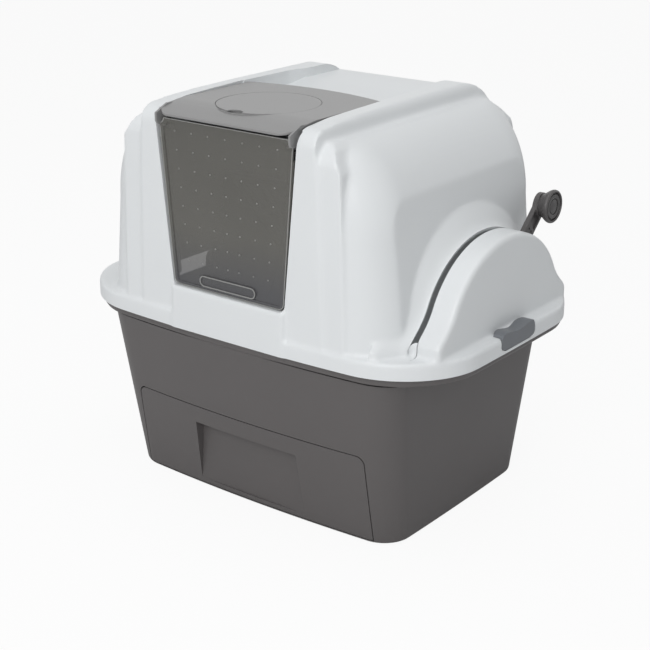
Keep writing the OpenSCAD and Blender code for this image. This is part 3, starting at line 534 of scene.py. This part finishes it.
def bridgeSolid(name, inset, low):
    piece = prism(name, bridgeProfile(inset, low), "x", -240, 240)
    half = [(169.5 - inset, low), (157.5 - inset, 590), (155 - inset, 604 - inset),
            (151 - inset, 609 - inset), (146, 612 - inset)]
    combine(piece, prism("bridgeSides", bothSides(half), "y", -260, 260), "INTERSECT")
    return piece


def stripSolid(name, inset, low):
    # the shallow strip between each rail and the dome beside it
    f = hood["bridgeFront"] - 2.5 - inset
    points = [(-f, low), (-f, 520)] + arc(-f + 34, 556 - inset, 33, 180, 104, 8)
    points += [(-150, 586 - inset), (-60, 588 - inset), (80, 588 - inset)]
    points += arc(hood["back"] - 62 - inset, 520 - inset, 66, 80, 0, 8)
    points += [(hood["back"] + 3 - inset, low)]
    piece = prism(name, points, "x", -240, 240)
    half = [(206 - inset, low), (197 - inset, 552), (180 - inset, 580 - inset), (150, 600 - inset)]
    combine(piece, prism("stripSides", bothSides(half), "y", -260, 260), "INTERSECT")
    return piece


def rimSolid(name, inset, low, top):
    rows = []
    half, depth, r = hood["rimHalf"] - inset, hood["rimDepth"] - inset, hood["rimRadius"] - inset
    for z, draw in ((low, 0), (top - 3.5, 0), (top - 1.5, 0.8), (top - 0.5, 2.0), (top, 3.6)):
        rows.append(bowedRing(z, half - draw, depth - draw, depth - draw, r - draw,
                              hood["rimBow"], hood["rimEndBow"]))
    return shell(name, rows)


bell = {"crest": 136, "half": 151, "flare": 55, "flareHigh": 58, "bellFoot": 184, "housingFoot": 173,
        "face": 320.5, "edge": 6, "wall": 3, "gapLow": 275.5, "gapHigh": 284.5, "gapBack": 268.5,
        "gapFoot": 181, "gapGrow": 5, "sink": 10}


def bellHalf(h, inset, foot):
    k = min(h / (bell["crest"] - inset), 1)
    half = (bell["half"] - inset) * math.sqrt(1 - k * k)
    half += bell["flare"] * max(0, 1 - h / bell["flareHigh"]) ** 2
    return min(half, foot - inset)


def bellOutline(inset, drop, foot, steps=26):
    # the arch of the lever slot, from its front foot over the crest to its back foot
    right = []
    for i in range(steps + 1):
        h = (bell["crest"] - inset) * math.sin(math.radians(90 * i / steps))
        right.append((bellHalf(h, inset, foot), hood["rimTop"] + h))
    base = hood["rimTop"] - drop
    left = [(-y, z) for y, z in right]
    return [(left[0][0], base)] + left + list(reversed(right[:-1])) + [(right[0][0], base)]


def archSolid(name, stations, drop, foot=bell["bellFoot"]):
    # stations: (x, inset) from the outermost inwards
    rows = [[(x, y, z) for y, z in bellOutline(inset, drop, foot)] for x, inset in stations]
    return shell(name, rows)


flareStations = ((275.5, 0.8), (275.0, 0.0), (273.5, -1.0), (271, -3), (268, -6), (265, -9.5),
                 (262, -14), (258, -20), (250, -32), (240, -40))
forms = [rimSolid("rimForm", 0, 270, hood["rimTop"]), domeSolid("domeForm", 0, 275),
         bridgeSolid("bridgeForm", 0, 275), stripSolid("stripForm", 0, 275),
         block("sillForm", (-104, -239.3, 272), (104, -215, 345))]
hoodPiece = forms[0]
for form in forms[1:]:
    combine(hoodPiece, form, "UNION")


def cutSidePanel(piece, inset, low):
    # the flat panel pressed into each dome's side
    high = 640
    for side in (-1, 1):
        panel = [(side * (sideAt(low) - inset), low), (side * 360, low),
                 (side * 360, high), (side * (sideAt(high) - inset), high)]
        combine(piece, prism("sidePanel", panel, "y", -300, 300))


cutSidePanel(hoodPiece, 0, hood["panelLow"])
combine(hoodPiece, archSolid("bellForm", flareStations, bell["sink"]), "UNION")
moundStations = []
for i in range(7):
    a = math.radians(15 * i)
    moundStations.append((bell["face"] - bell["edge"] * (1 - math.cos(a)), bell["edge"] * (1 - math.sin(a))))
moundStations += [(300, 0), (270, 0)]
combine(hoodPiece, archSolid("moundForm", moundStations, bell["sink"], bell["housingFoot"]), "UNION")
print("hood joined", len(hoodPiece.data.polygons))
modify(hoodPiece, "REMESH", mode="VOXEL", voxel_size=hood["voxel"])
modify(hoodPiece, "SMOOTH", factor=0.5, iterations=hood["smoothSteps"])
print("hood blended", len(hoodPiece.data.polygons))

hoodInside = rimSolid("rimInside", hood["rimWall"], 262, hood["rimTop"] - hood["rimWall"])
for form in (domeSolid("domeInside", hood["wall"], 270), bridgeSolid("bridgeInside", hood["wall"], 270),
             stripSolid("stripInside", hood["wall"], 270),
             block("sillInside", (-101, -236.3, 262), (101, -200, 342))):
    combine(hoodInside, form, "UNION")
cutSidePanel(hoodInside, hood["wall"], 302.2)


def latchOutline(grow):
    # the latch's face: rounded lower corners and leaning sides
    low, half, foot = 284.4 - grow, 46 + grow, 37 + grow
    points = arc(-foot, low + 11, 9.5, 200, 262, 5) + [(-foot + 4, low), (foot - 4, low)]
    points += arc(foot, low + 11, 9.5, 278, 340, 5)
    return points + [(half, low + 14), (half, 330), (-half, 330), (-half, low + 14)]


def doorOutline(grow):
    # the door's opening, narrow at the sill and wide at the top, with rounded lower corners
    low, high, r = 345 - grow, 600, 8
    reach = 104 + grow - r
    points = [(-129 - grow, high)]
    points += arc(-reach, low + r, r, 184, 270, 5) + arc(reach, low + r, r, 270, 356, 5)
    return points + [(129 + grow, high)]


def pocketSolid(name, grow):
    section = [(-42 - grow, 700), (-42 - grow, 590 - grow), (55, 590 - grow), (66, 591 - grow),
               (109 + grow, 602 - grow), (109 + grow, 700)]
    piece = prism(name, section, "x", -200, 200)
    plan = [(-125 - grow, -42 - grow), (125 + grow, -42 - grow), (122 + grow, 62)]
    plan += arc(100, 97, 12 + grow, 10, 90, 6) + arc(-100, 97, 12 + grow, 90, 170, 6) + [(-122 - grow, 62)]
    combine(piece, prism("pocketPlan", plan, "z", 560, 720), "INTERSECT")
    return piece


# the pocket's and the channel's floors keep a wall under them
combine(hoodInside, pocketSolid("pocketWall", 3))
combine(hoodInside, block("channelWall", (-115, 77, hood["channelTop"] - 3), (115, 303, 702)))
combine(hoodInside, prism("doorWall", doorOutline(3), "y", -232, -218))
for side in (-1, 1):
    low, high = span(side, 127, 130)
    combine(hoodInside, block("railSkirt", (low, -231, 568), (high, -42, 640)))
combine(hoodPiece, hoodInside)
print("hood hollowed")
combine(hoodPiece, block("bottomCut", (-500, -500, 200), (500, 500, hood["rimLow"])))
combine(hoodPiece, prism("doorHole", doorOutline(0), "y", -400, -150))
combine(hoodPiece, block("lidHole", (-127, -400, 589), (127, -45, 700)))
combine(hoodPiece, block("lidRoom", (-127, -400, 604.7), (127, -42, 700)))
combine(hoodPiece, pocketSolid("pocketHole", 0))
combine(hoodPiece, block("channelCut", (-112, 80, hood["channelTop"]), (112, 300, 700)))
hollowStations = ((bell["face"] - 3, 6), (bell["face"] - 7, bell["wall"]), (284.0, bell["wall"]))
combine(hoodPiece, archSolid("moundHollow", hollowStations, -0.2, bell["housingFoot"]))
slotStations = ((bell["gapHigh"], bell["wall"]), (bell["gapBack"], bell["wall"]))
combine(hoodPiece, archSolid("slotHole", slotStations, -0.2))
gap = bellOutline(-bell["gapGrow"], -0.2, bell["gapFoot"])
combine(hoodPiece, prism("slotGap", gap, "x", bell["gapLow"], bell["gapHigh"]))
combine(hoodPiece, archSolid("flareHollow", ((bell["gapBack"] - 3, 9), (240, 9)), -4))
combine(hoodPiece, prism("shaftHole", arc(0, 350, 14, 0, 350, 35), "x", 235, 290))
for side in (-1, 1):
    combine(hoodPiece, prism("latchHole", latchOutline(0.7), "x", *span(side, 337.5, 400)))
smoothBy(hoodPiece, 30)
hoodPiece.name = "hoodBody"
done(hoodPiece, "hood", finishes["hood"], "hood", "hood_shell", "lever_housing")

# ---- latches ----

latch = {"face": 341.5, "thick": 3.4, "reach": 318.5, "low": 284.4, "ledge": 304.3, "dip": 305.2, "rise": 4.6}


def latchTop(y):
    # the thumb rest dips in the middle and rises to each end
    share = min(abs(y) / 34, 1)
    return latch["dip"] + latch["rise"] * share ** 2 * (3 - 2 * share)


outline = arc(-37, latch["low"] + 11, 9.2, 200, 264, 6) + [(-30, latch["low"]), (30, latch["low"])]
outline += arc(37, latch["low"] + 11, 9.2, 276, 340, 6)
outline += [(45.6, 299), (44.6, 304), (41.6, latchTop(40) - 1.2)]
outline += [(y, latchTop(y)) for y in (37, 33, 29, 25, 20, 15, 10, 5, 0,
                                       -5, -10, -15, -20, -25, -29, -33, -37)]
outline += [(-41.6, latchTop(40) - 1.2), (-44.6, 304), (-45.6, 299)]
latchPiece = prism("latchRight", outline, "x", latch["reach"] - 2, latch["face"])
latchBack, latchFoot = latch["face"] - latch["thick"], latch["low"] - 2
profile = [(latchBack, latchFoot), (latch["face"] + 2, latchFoot), (latch["face"] + 2, 320),
           (latch["reach"], 320), (latch["reach"], latch["ledge"]), (latchBack, latch["ledge"])]
combine(latchPiece, prism("latchSide", profile, "y", -60, 60), "INTERSECT")
backEdge = [(latch["reach"] - 5, -60), (latch["reach"] - 5, 60)]
backEdge += [(latch["reach"] + 6.5 * (y / 42) ** 2, y)
             for y in (60, 42, 36, 30, 20, 10, 0, -10, -20, -30, -36, -42, -60)]
combine(latchPiece, prism("latchBack", backEdge, "z", 300, 330))
modify(latchPiece, "BEVEL", width=0.0009, segments=3, limit_method="ANGLE", angle_limit=math.radians(38))
smoothBy(latchPiece, 40)
evenShade(latchPiece)
latchOther = mirrored(latchPiece, "latchLeft")
done(latchPiece, "latch_right", finishes["latch"], "latch", "latch_right")
done(latchOther, "latch_left", finishes["latch"], "latch", "latch_left")

# ---- lid over the door ----

lid = {"top": 608, "front": 240, "back": 34, "half": 123, "thick": 3.2, "corner": 27, "bow": 20,
       "roll": 60, "drop": 11, "coverY": -135, "coverR": 74.5, "gap": 0.7, "cupR": 63.4,
       "cupLow": 590, "notch": 12.5, "axleY": -218, "axleZ": 590, "slotPitch": 12.7, "slotHalf": 2.5}


def lidLine(inset):
    points = []
    for i in range(25):
        u = i / 24
        points.append((-lid["front"] + lid["roll"] * u, lid["top"] - inset - lid["drop"] * (1 - u) ** 1.7))
    return points


section = lidLine(0) + [(20, lid["top"]), (20, lid["top"] - lid["thick"])]
section += list(reversed(lidLine(lid["thick"])))
lidPiece = prism("lidSheet", section, "x", -lid["half"] - 5, lid["half"] + 5)
r = lid["corner"]
plan = [(-lid["half"] + r, -lid["front"]), (lid["half"] - r, -lid["front"])]
plan += arc(lid["half"] - r, -lid["front"] + r, r, -84, 0, 12)
plan += [(lid["half"] * (1 - i / 10), -lid["back"] + lid["bow"] * (1 - (1 - i / 10) ** 2)) for i in range(21)]
plan += arc(-lid["half"] + r, -lid["front"] + r, r, 180, 264, 12)
combine(lidPiece, prism("lidPlan", plan, "z", 500, 700), "INTERSECT")
modify(lidPiece, "BEVEL", width=0.0008, segments=2, limit_method="ANGLE", angle_limit=math.radians(50))


def disc(name, x, y, radius, low, high, sides=96):
    pickNone()
    bpy.ops.mesh.primitive_cylinder_add(vertices=sides, radius=radius * mm, depth=(high - low) * mm,
                                        location=(x * mm, y * mm, (low + high) / 2 * mm))
    piece = namePiece(name)
    bpy.ops.object.transform_apply(location=True, rotation=True, scale=True)
    return piece


def rod(name, radius, low, high, y, z, sides=32):
    pickNone()
    bpy.ops.mesh.primitive_cylinder_add(vertices=sides, radius=radius * mm, depth=(high - low) * mm,
                                        location=((low + high) / 2 * mm, y * mm, z * mm),
                                        rotation=(0, math.radians(90), 0))
    piece = namePiece(name)
    bpy.ops.object.transform_apply(location=True, rotation=True, scale=True)
    return piece


combine(lidPiece, disc("wellWall", 0, lid["coverY"], lid["coverR"] + 3, 601.8, 606), "UNION")
combine(lidPiece, disc("cupWall", 0, lid["coverY"], lid["cupR"], lid["cupLow"], 604), "UNION")
for side in (-1, 1):
    # ears that carry the lid's hinge pins
    ear = [(-239, 596), (-239, 584), (-236, 579.5), (-230, 578), (-216, 581), (-212, 586),
           (-210, 592), (-196, 606), (-216, 606)]
    earPiece = prism("lidEar", ear, "x", *span(side, 118.6, 122.2))
    modify(earPiece, "BEVEL", width=0.0006, segments=2, limit_method="ANGLE", angle_limit=math.radians(40))
    combine(lidPiece, earPiece, "UNION")
    combine(lidPiece, rod("lidKnuckle", 4, *span(side, 111, 122), lid["axleY"], lid["axleZ"]), "UNION")
combine(lidPiece, disc("wellHole", 0, lid["coverY"], lid["coverR"] + lid["gap"], 605, 700))
coverFront = lid["coverY"] - lid["coverR"]
combine(lidPiece, block("fingerRoom", (-lid["notch"], coverFront - 1, 594),
                        (lid["notch"], coverFront + 10, 606)))
combine(lidPiece, disc("cupHole", 0, lid["coverY"], lid["cupR"] - 2.5, lid["cupLow"] + 2, 700))
for i in range(-3, 4):
    y = lid["coverY"] + i * lid["slotPitch"]
    combine(lidPiece, block("airSlot", (-34, y - lid["slotHalf"], 580), (34, y + lid["slotHalf"], 600)))
for side in (-1, 1):
    combine(lidPiece, rod("lidBore", 2.5, *span(side, 105, 130), lid["axleY"], lid["axleZ"]))
smoothBy(lidPiece, 32)
evenShade(lidPiece)
lidPiece.name = "lidBody"
done(lidPiece, "lid", finishes["lid"], "lid", "top_lid")

coverPiece = disc("coverBody", 0, lid["coverY"], lid["coverR"], 605.3, 608, 128)
notchPlan = [(-lid["notch"], coverFront - 5), (lid["notch"], coverFront - 5)]
notchPlan += arc(0, coverFront + 1, lid["notch"], 0, 180, 14, 0.85)
combine(coverPiece, prism("fingerNotch", notchPlan, "z", 600, 620))
modify(coverPiece, "BEVEL", width=0.0006, segments=2, limit_method="ANGLE", angle_limit=math.radians(50))
smoothBy(coverPiece, 40)
evenShade(coverPiece)
done(coverPiece, "cover", finishes["lid"], "lid", "filter_cover")

# ---- swing door ----

door = {"front": -231, "thick": 3, "low": 346.5, "high": 588, "gap": 3.2, "rim": 6, "step": 1.1,
        "corner": 10, "pullHalf": 52, "pullLow": 352, "pullHigh": 368.5, "bead": 2.2,
        "flangeLow": 360, "flangeHigh": 560, "flange": 2, "axleY": -222, "axleZ": 576}


def doorHalf(z):
    return 104 + 23 * (z - 345) / 244 - door["gap"]


def doorPlate(inset, low, high):
    r = max(door["corner"] - inset, 3)
    low, high = low + inset, high - inset
    reach = doorHalf(low + r) - inset - r
    points = arc(-reach, low + r, r, 184, 270, 7) + arc(reach, low + r, r, 270, 356, 7)
    return points + bothSides(arc(doorHalf(high) - inset - 2, high + 2, 9, 262, 188, 6))


def doorPrism(name, outline, near, far):
    # near and far are counted from the door's front face
    return prism(name, outline, "y", door["front"] + near, door["front"] + far)


doorPiece = doorPrism("doorPanel", doorPlate(0, door["low"], door["high"]), 0, door["thick"])
recessPlate = doorPlate(door["rim"], door["low"] - 1, door["high"])
combine(doorPiece, doorPrism("doorRecess", recessPlate, -5, door["step"]))


def stadium(inset):
    r = (door["pullHigh"] - door["pullLow"]) / 2 - inset
    middle = (door["pullHigh"] + door["pullLow"]) / 2
    reach = door["pullHalf"] - inset - r
    return arc(reach, middle, r, -90, 90, 12) + arc(-reach, middle, r, 90, 270, 12)


pull = doorPrism("pullBead", stadium(0), -1.6, 2)
combine(pull, doorPrism("pullInside", stadium(door["bead"]), -9, 0.2))
modify(pull, "BEVEL", width=0.0006, segments=3, limit_method="ANGLE", angle_limit=math.radians(50))
combine(doorPiece, pull, "UNION")
for side in (-1, 1):
    # the edges turn back behind the panel
    low, high = door["flangeLow"], door["flangeHigh"]
    edge = [(side * doorHalf(low), low), (side * (doorHalf(low) - door["flange"]), low),
            (side * (doorHalf(high) - door["flange"]), high), (side * doorHalf(high), high)]
    combine(doorPiece, doorPrism("doorFlange", edge, 1, 13), "UNION")
    low, high = span(side, 104, 116)
    combine(doorPiece, rod("doorKnuckle", 5, low, high, door["axleY"], door["axleZ"]), "UNION")
    combine(doorPiece, block("knuckleWeb", (low, -229, 571), (high, door["axleY"], 580.5)), "UNION")
    combine(doorPiece, rod("doorBore", 3, low - 1, high + 1, door["axleY"], door["axleZ"]))
modify(doorPiece, "BEVEL", width=0.0004, segments=2, limit_method="ANGLE", angle_limit=math.radians(55))
smoothBy(doorPiece, 40)
evenShade(doorPiece)
doorPiece.name = "doorBody"
done(doorPiece, "door", finishes["door"], "door", "swing_door")

# painted highlights: pale lines along the door's edge and round its pull, standing in for the light those
# edges catch
rim = doorPrism("doorEdgeHighlight", doorPlate(-0.2, door["low"], door["high"]), -0.3, 1.2)
combine(rim, doorPrism("doorEdgeHighlightInside", doorPlate(1.1, door["low"], door["high"]), -3, 3))
ring = doorPrism("pullEdgeHighlight", stadium(0.2), -2.1, -1.2)
combine(ring, doorPrism("pullEdgeHighlightInside", stadium(1.7), -4, 0))
paintedHighlights = join([rim, ring], "doorEdgeHighlights")
smoothBy(paintedHighlights, 30)
# the painted highlight lines take the pale nub colour
done(paintedHighlights, "door", finishes["nub"], "door")

nub = {"radius": 1.25, "flat": 0.55, "rows": 8, "low": 385, "pitch": 26.7, "fanFrom": 412, "fanOver": 134}
nubs = []
for row in range(nub["rows"]):
    z = nub["low"] + nub["pitch"] * row
    spread = (z - nub["fanFrom"]) / nub["fanOver"]
    for column, base, wide in ((0, 0, 0), (1, 22.2, 8), (2, 49.3, 10.5), (3, 76.3, 14)):
        for side in ((-1, 1) if column else (1,)):
            spot = (side * (base + wide * spread) * mm, (door["front"] + door["step"]) * mm, z * mm)
            pickNone()
            bpy.ops.mesh.primitive_ico_sphere_add(subdivisions=2, radius=nub["radius"] * mm,
                                                  location=spot, scale=(1, nub["flat"], 1))
            nubs.append(namePiece("doorNub"))
            bpy.ops.object.transform_apply(location=True, rotation=True, scale=True)
nubPiece = join(nubs, "doorNubs")
smoothBy(nubPiece, 60)
done(nubPiece, "door", finishes["nub"], "door")

# ---- lever and knob ----

lever = {"axleZ": 350, "rest": 16, "knee": 80, "bend": 27, "handle": 105.5, "width": 26,
         "near": 276.5, "far": 283.5, "end": 18, "armEnd": 67, "lapFrom": 27, "lapTo": 68, "rim": 3}
rise = math.radians(lever["rest"] + lever["bend"])
kneeY = lever["knee"] * math.cos(math.radians(lever["rest"]))
kneeZ = lever["axleZ"] + lever["knee"] * math.sin(math.radians(lever["rest"]))
knobY = kneeY + lever["handle"] * math.cos(rise)
knobZ = kneeZ + lever["handle"] * math.sin(rise)


def onHandle(u, v):
    # a point u along the handle, back from the knob's middle, and v across it
    return knobY - u * math.cos(rise) - v * math.sin(rise), knobZ - u * math.sin(rise) + v * math.cos(rise)


def onArm(u, v):
    a = math.radians(lever["rest"])
    return u * math.cos(a) - v * math.sin(a), lever["axleZ"] + u * math.sin(a) + v * math.cos(a)


half = lever["width"] / 2
mitre = half * math.tan(math.radians(lever["bend"] / 2))
outline = [onArm(lever["armEnd"], -half), onArm(lever["knee"] + mitre, -half), onHandle(14, -half)]
for i in range(15):
    a = math.radians(-120 + 240 * i / 14)
    outline.append(onHandle(-lever["end"] * math.cos(a), lever["end"] * math.sin(a)))
outline += [onHandle(14, half), onArm(lever["knee"] - mitre, half), onArm(lever["armEnd"], half)]
handle = prism("leverHandle", outline, "x", lever["near"], lever["far"])
lap = [onArm(lever["lapFrom"], -half), onArm(lever["lapTo"], -half),
       onArm(lever["lapTo"], half), onArm(lever["lapFrom"], half)]
combine(handle, prism("handleLap", lap, "x", lever["near"] + 3.5, lever["far"]), "UNION")
inner = half - lever["rim"]
recess = [onHandle(19, -inner), onHandle(19, inner), onHandle(36, inner), onHandle(40, -inner)]
combine(handle, prism("handleRecess", recess, "x", lever["far"] - 2.6, lever["far"] + 5))
modify(handle, "BEVEL", width=0.0010, segments=3, limit_method="ANGLE", angle_limit=math.radians(50))
for u, v, size in ((46, 4, 1.8), (46, -4, 1.8), (57, -6, 2.6), (63, 3, 1.6)):
    y, z = onHandle(u, v)
    combine(handle, block("handleMark", (lever["far"] - 1.2, y - size, z - size),
                          (lever["far"] + 5, y + size, z + size)))
combine(handle, rod("handleBore", 4, 270, 290, knobY, knobZ))
for u in (39, 55):
    y, z = onArm(u, 0)
    combine(handle, rod("studBore", 2.5, 270, 290, y, z))
smoothBy(handle, 40)
evenShade(handle)
done(handle, "lever", finishes["lever"], "tub", "lever_handle")


def turned(name, profile, x, y, z, sides=72):
    # an outline drawn by extruding a point, then spun about the knob's axis
    pickNone()
    bpy.ops.mesh.primitive_circle_add(vertices=3, radius=0.001)
    piece = namePiece(name)
    bpy.ops.object.mode_set(mode="EDIT")
    bpy.ops.mesh.select_all(action="SELECT")
    bpy.ops.mesh.merge(type="CENTER")
    along, radius = profile[0]
    bpy.ops.transform.translate(value=((x + along) * mm, y * mm, (z + radius) * mm))
    for nextAlong, nextRadius in profile[1:]:
        bpy.ops.mesh.extrude_region_move(TRANSFORM_OT_translate={
            "value": ((nextAlong - along) * mm, 0, (nextRadius - radius) * mm)})
        along, radius = nextAlong, nextRadius
    bpy.ops.mesh.select_all(action="SELECT")
    bpy.ops.mesh.spin(steps=sides, angle=math.radians(360), center=(x * mm, y * mm, z * mm), axis=(1, 0, 0))
    bpy.ops.mesh.select_all(action="SELECT")
    bpy.ops.mesh.remove_doubles(threshold=0.00002)
    bpy.ops.object.mode_set(mode="OBJECT")
    faceOut(piece)
    return piece


knobX = 283.8
cup = [(0, 4.05), (0, 15.5), (0.6, 16.8), (2.0, 17.6), (5, 19.0), (8.5, 21.3), (11.5, 23.4),
       (13.6, 24.5), (15.2, 25.0), (16.8, 25.0), (18.4, 24.6), (19.4, 23.7), (19.9, 22.6),
       (19.7, 21.6), (18.6, 21.0), (15.6, 20.8), (15.4, 19.0), (14.0, 19.0), (14.0, 6.8),
       (9.7, 6.8), (9.7, 4.05), (0, 4.05)]
knobPiece = turned("knobBody", cup, knobX, knobY, knobZ)
smoothBy(knobPiece, 35)
done(knobPiece, "knob", finishes["lever"], "trim_dark", "knob")
cap = [(14.1, 0), (14.1, 18.8), (17.2, 18.8), (18.2, 18.5), (18.9, 17.7), (19.0, 16.6), (19.0, 13.4),
       (18.6, 12.6), (17.0, 12.3), (16.6, 11.6), (16.8, 10.9), (18.0, 10.6), (18.4, 9.8), (18.4, 0)]
capPiece = turned("knobCap", cap, knobX, knobY, knobZ)
smoothBy(capPiece, 35)
done(capPiece, "knob", finishes["knobFace"], "lid", "knob_cap")

# ---- camera, light and floor ----

view = {"eye": (1.2880, -1.6787, 1.0242), "aim": (-0.0749, 0.0917, 0.1907), "lens": 80.0}



def pointed(name, data, at, aim):
    # a camera or a lamp at one place, looking at another
    thing = bpy.data.objects.new(name, data)
    bpy.context.scene.collection.objects.link(thing)
    thing.location = at
    d = [e - a for e, a in zip(at, aim)]
    thing.rotation_euler = (math.atan2(math.hypot(d[0], d[1]), d[2]), 0, math.atan2(d[0], -d[1]))
    return thing


camera = pointed("camera", bpy.data.cameras.new("camera"), view["eye"], view["aim"])
camera.data.sensor_width = 36
camera.data.lens = view["lens"]
bpy.context.scene.camera = camera


def lamp(name, at, size, power):
    light = pointed(name, bpy.data.lights.new(name, "AREA"), at, (0, 0, 0.3))
    light.data.shape = "SQUARE"
    light.data.size = size
    light.data.energy = power


lamp("frontLight", (0.9, -2.8, 1.9), 1.8, 44)
lamp("topLight", (0.2, -0.2, 3.0), 2.2, 19)
lamp("leftLight", (-2.8, -0.8, 1.2), 1.6, 4)

world = bpy.data.worlds.new("studio")
bpy.context.scene.world = world
world.use_nodes = True
tree = world.node_tree
tree.nodes.clear()
rays = tree.nodes.new("ShaderNodeLightPath")
seen = tree.nodes.new("ShaderNodeMath")
seen.operation = "MAXIMUM"
seenAll = tree.nodes.new("ShaderNodeMath")
seenAll.operation = "MAXIMUM"
tree.links.new(rays.outputs["Is Camera Ray"], seen.inputs[0])
tree.links.new(rays.outputs["Is Transmission Ray"], seen.inputs[1])
tree.links.new(seen.outputs[0], seenAll.inputs[0])
tree.links.new(rays.outputs["Is Glossy Ray"], seenAll.inputs[1])
soft = tree.nodes.new("ShaderNodeBackground")
soft.inputs["Color"].default_value = (0.62, 0.63, 0.64, 1)
soft.inputs["Strength"].default_value = 0.55
white = tree.nodes.new("ShaderNodeBackground")
white.inputs["Color"].default_value = (1, 1, 1, 1)
mixer = tree.nodes.new("ShaderNodeMixShader")
tree.links.new(seenAll.outputs[0], mixer.inputs[0])
tree.links.new(soft.outputs[0], mixer.inputs[1])
tree.links.new(white.outputs[0], mixer.inputs[2])
worldOut = tree.nodes.new("ShaderNodeOutputWorld")
tree.links.new(mixer.outputs[0], worldOut.inputs["Surface"])

pickNone()
bpy.ops.mesh.primitive_plane_add(size=12, location=(0, 0, -0.0005))
floor = namePiece("floor")
floorSheet = Sheet("paleFloor")
floorSheet.set(Base_Color=(0.9, 0.9, 0.9, 1), Roughness=0.9)
path = floorSheet.tree.nodes.new("ShaderNodeLightPath")
glow = floorSheet.tree.nodes.new("ShaderNodeEmission")
glow.inputs["Color"].default_value = (1, 1, 1, 1)
blend = floorSheet.tree.nodes.new("ShaderNodeMixShader")
share = floorSheet.tree.nodes.new("ShaderNodeMath")
share.operation = "MULTIPLY"
share.inputs[1].default_value = 0.92
floorSheet.tree.links.new(path.outputs["Is Camera Ray"], share.inputs[0])
floorSheet.tree.links.new(share.outputs[0], blend.inputs[0])
floorSheet.tree.links.new(floorSheet.shader.outputs[0], blend.inputs[1])
floorSheet.tree.links.new(glow.outputs[0], blend.inputs[2])
floorSheet.tree.links.new(blend.outputs[0], floorSheet.output.inputs["Surface"])
floor.data.materials.append(floorSheet.material)

bpy.context.scene.view_settings.view_transform = "Standard"


print("scene ready")
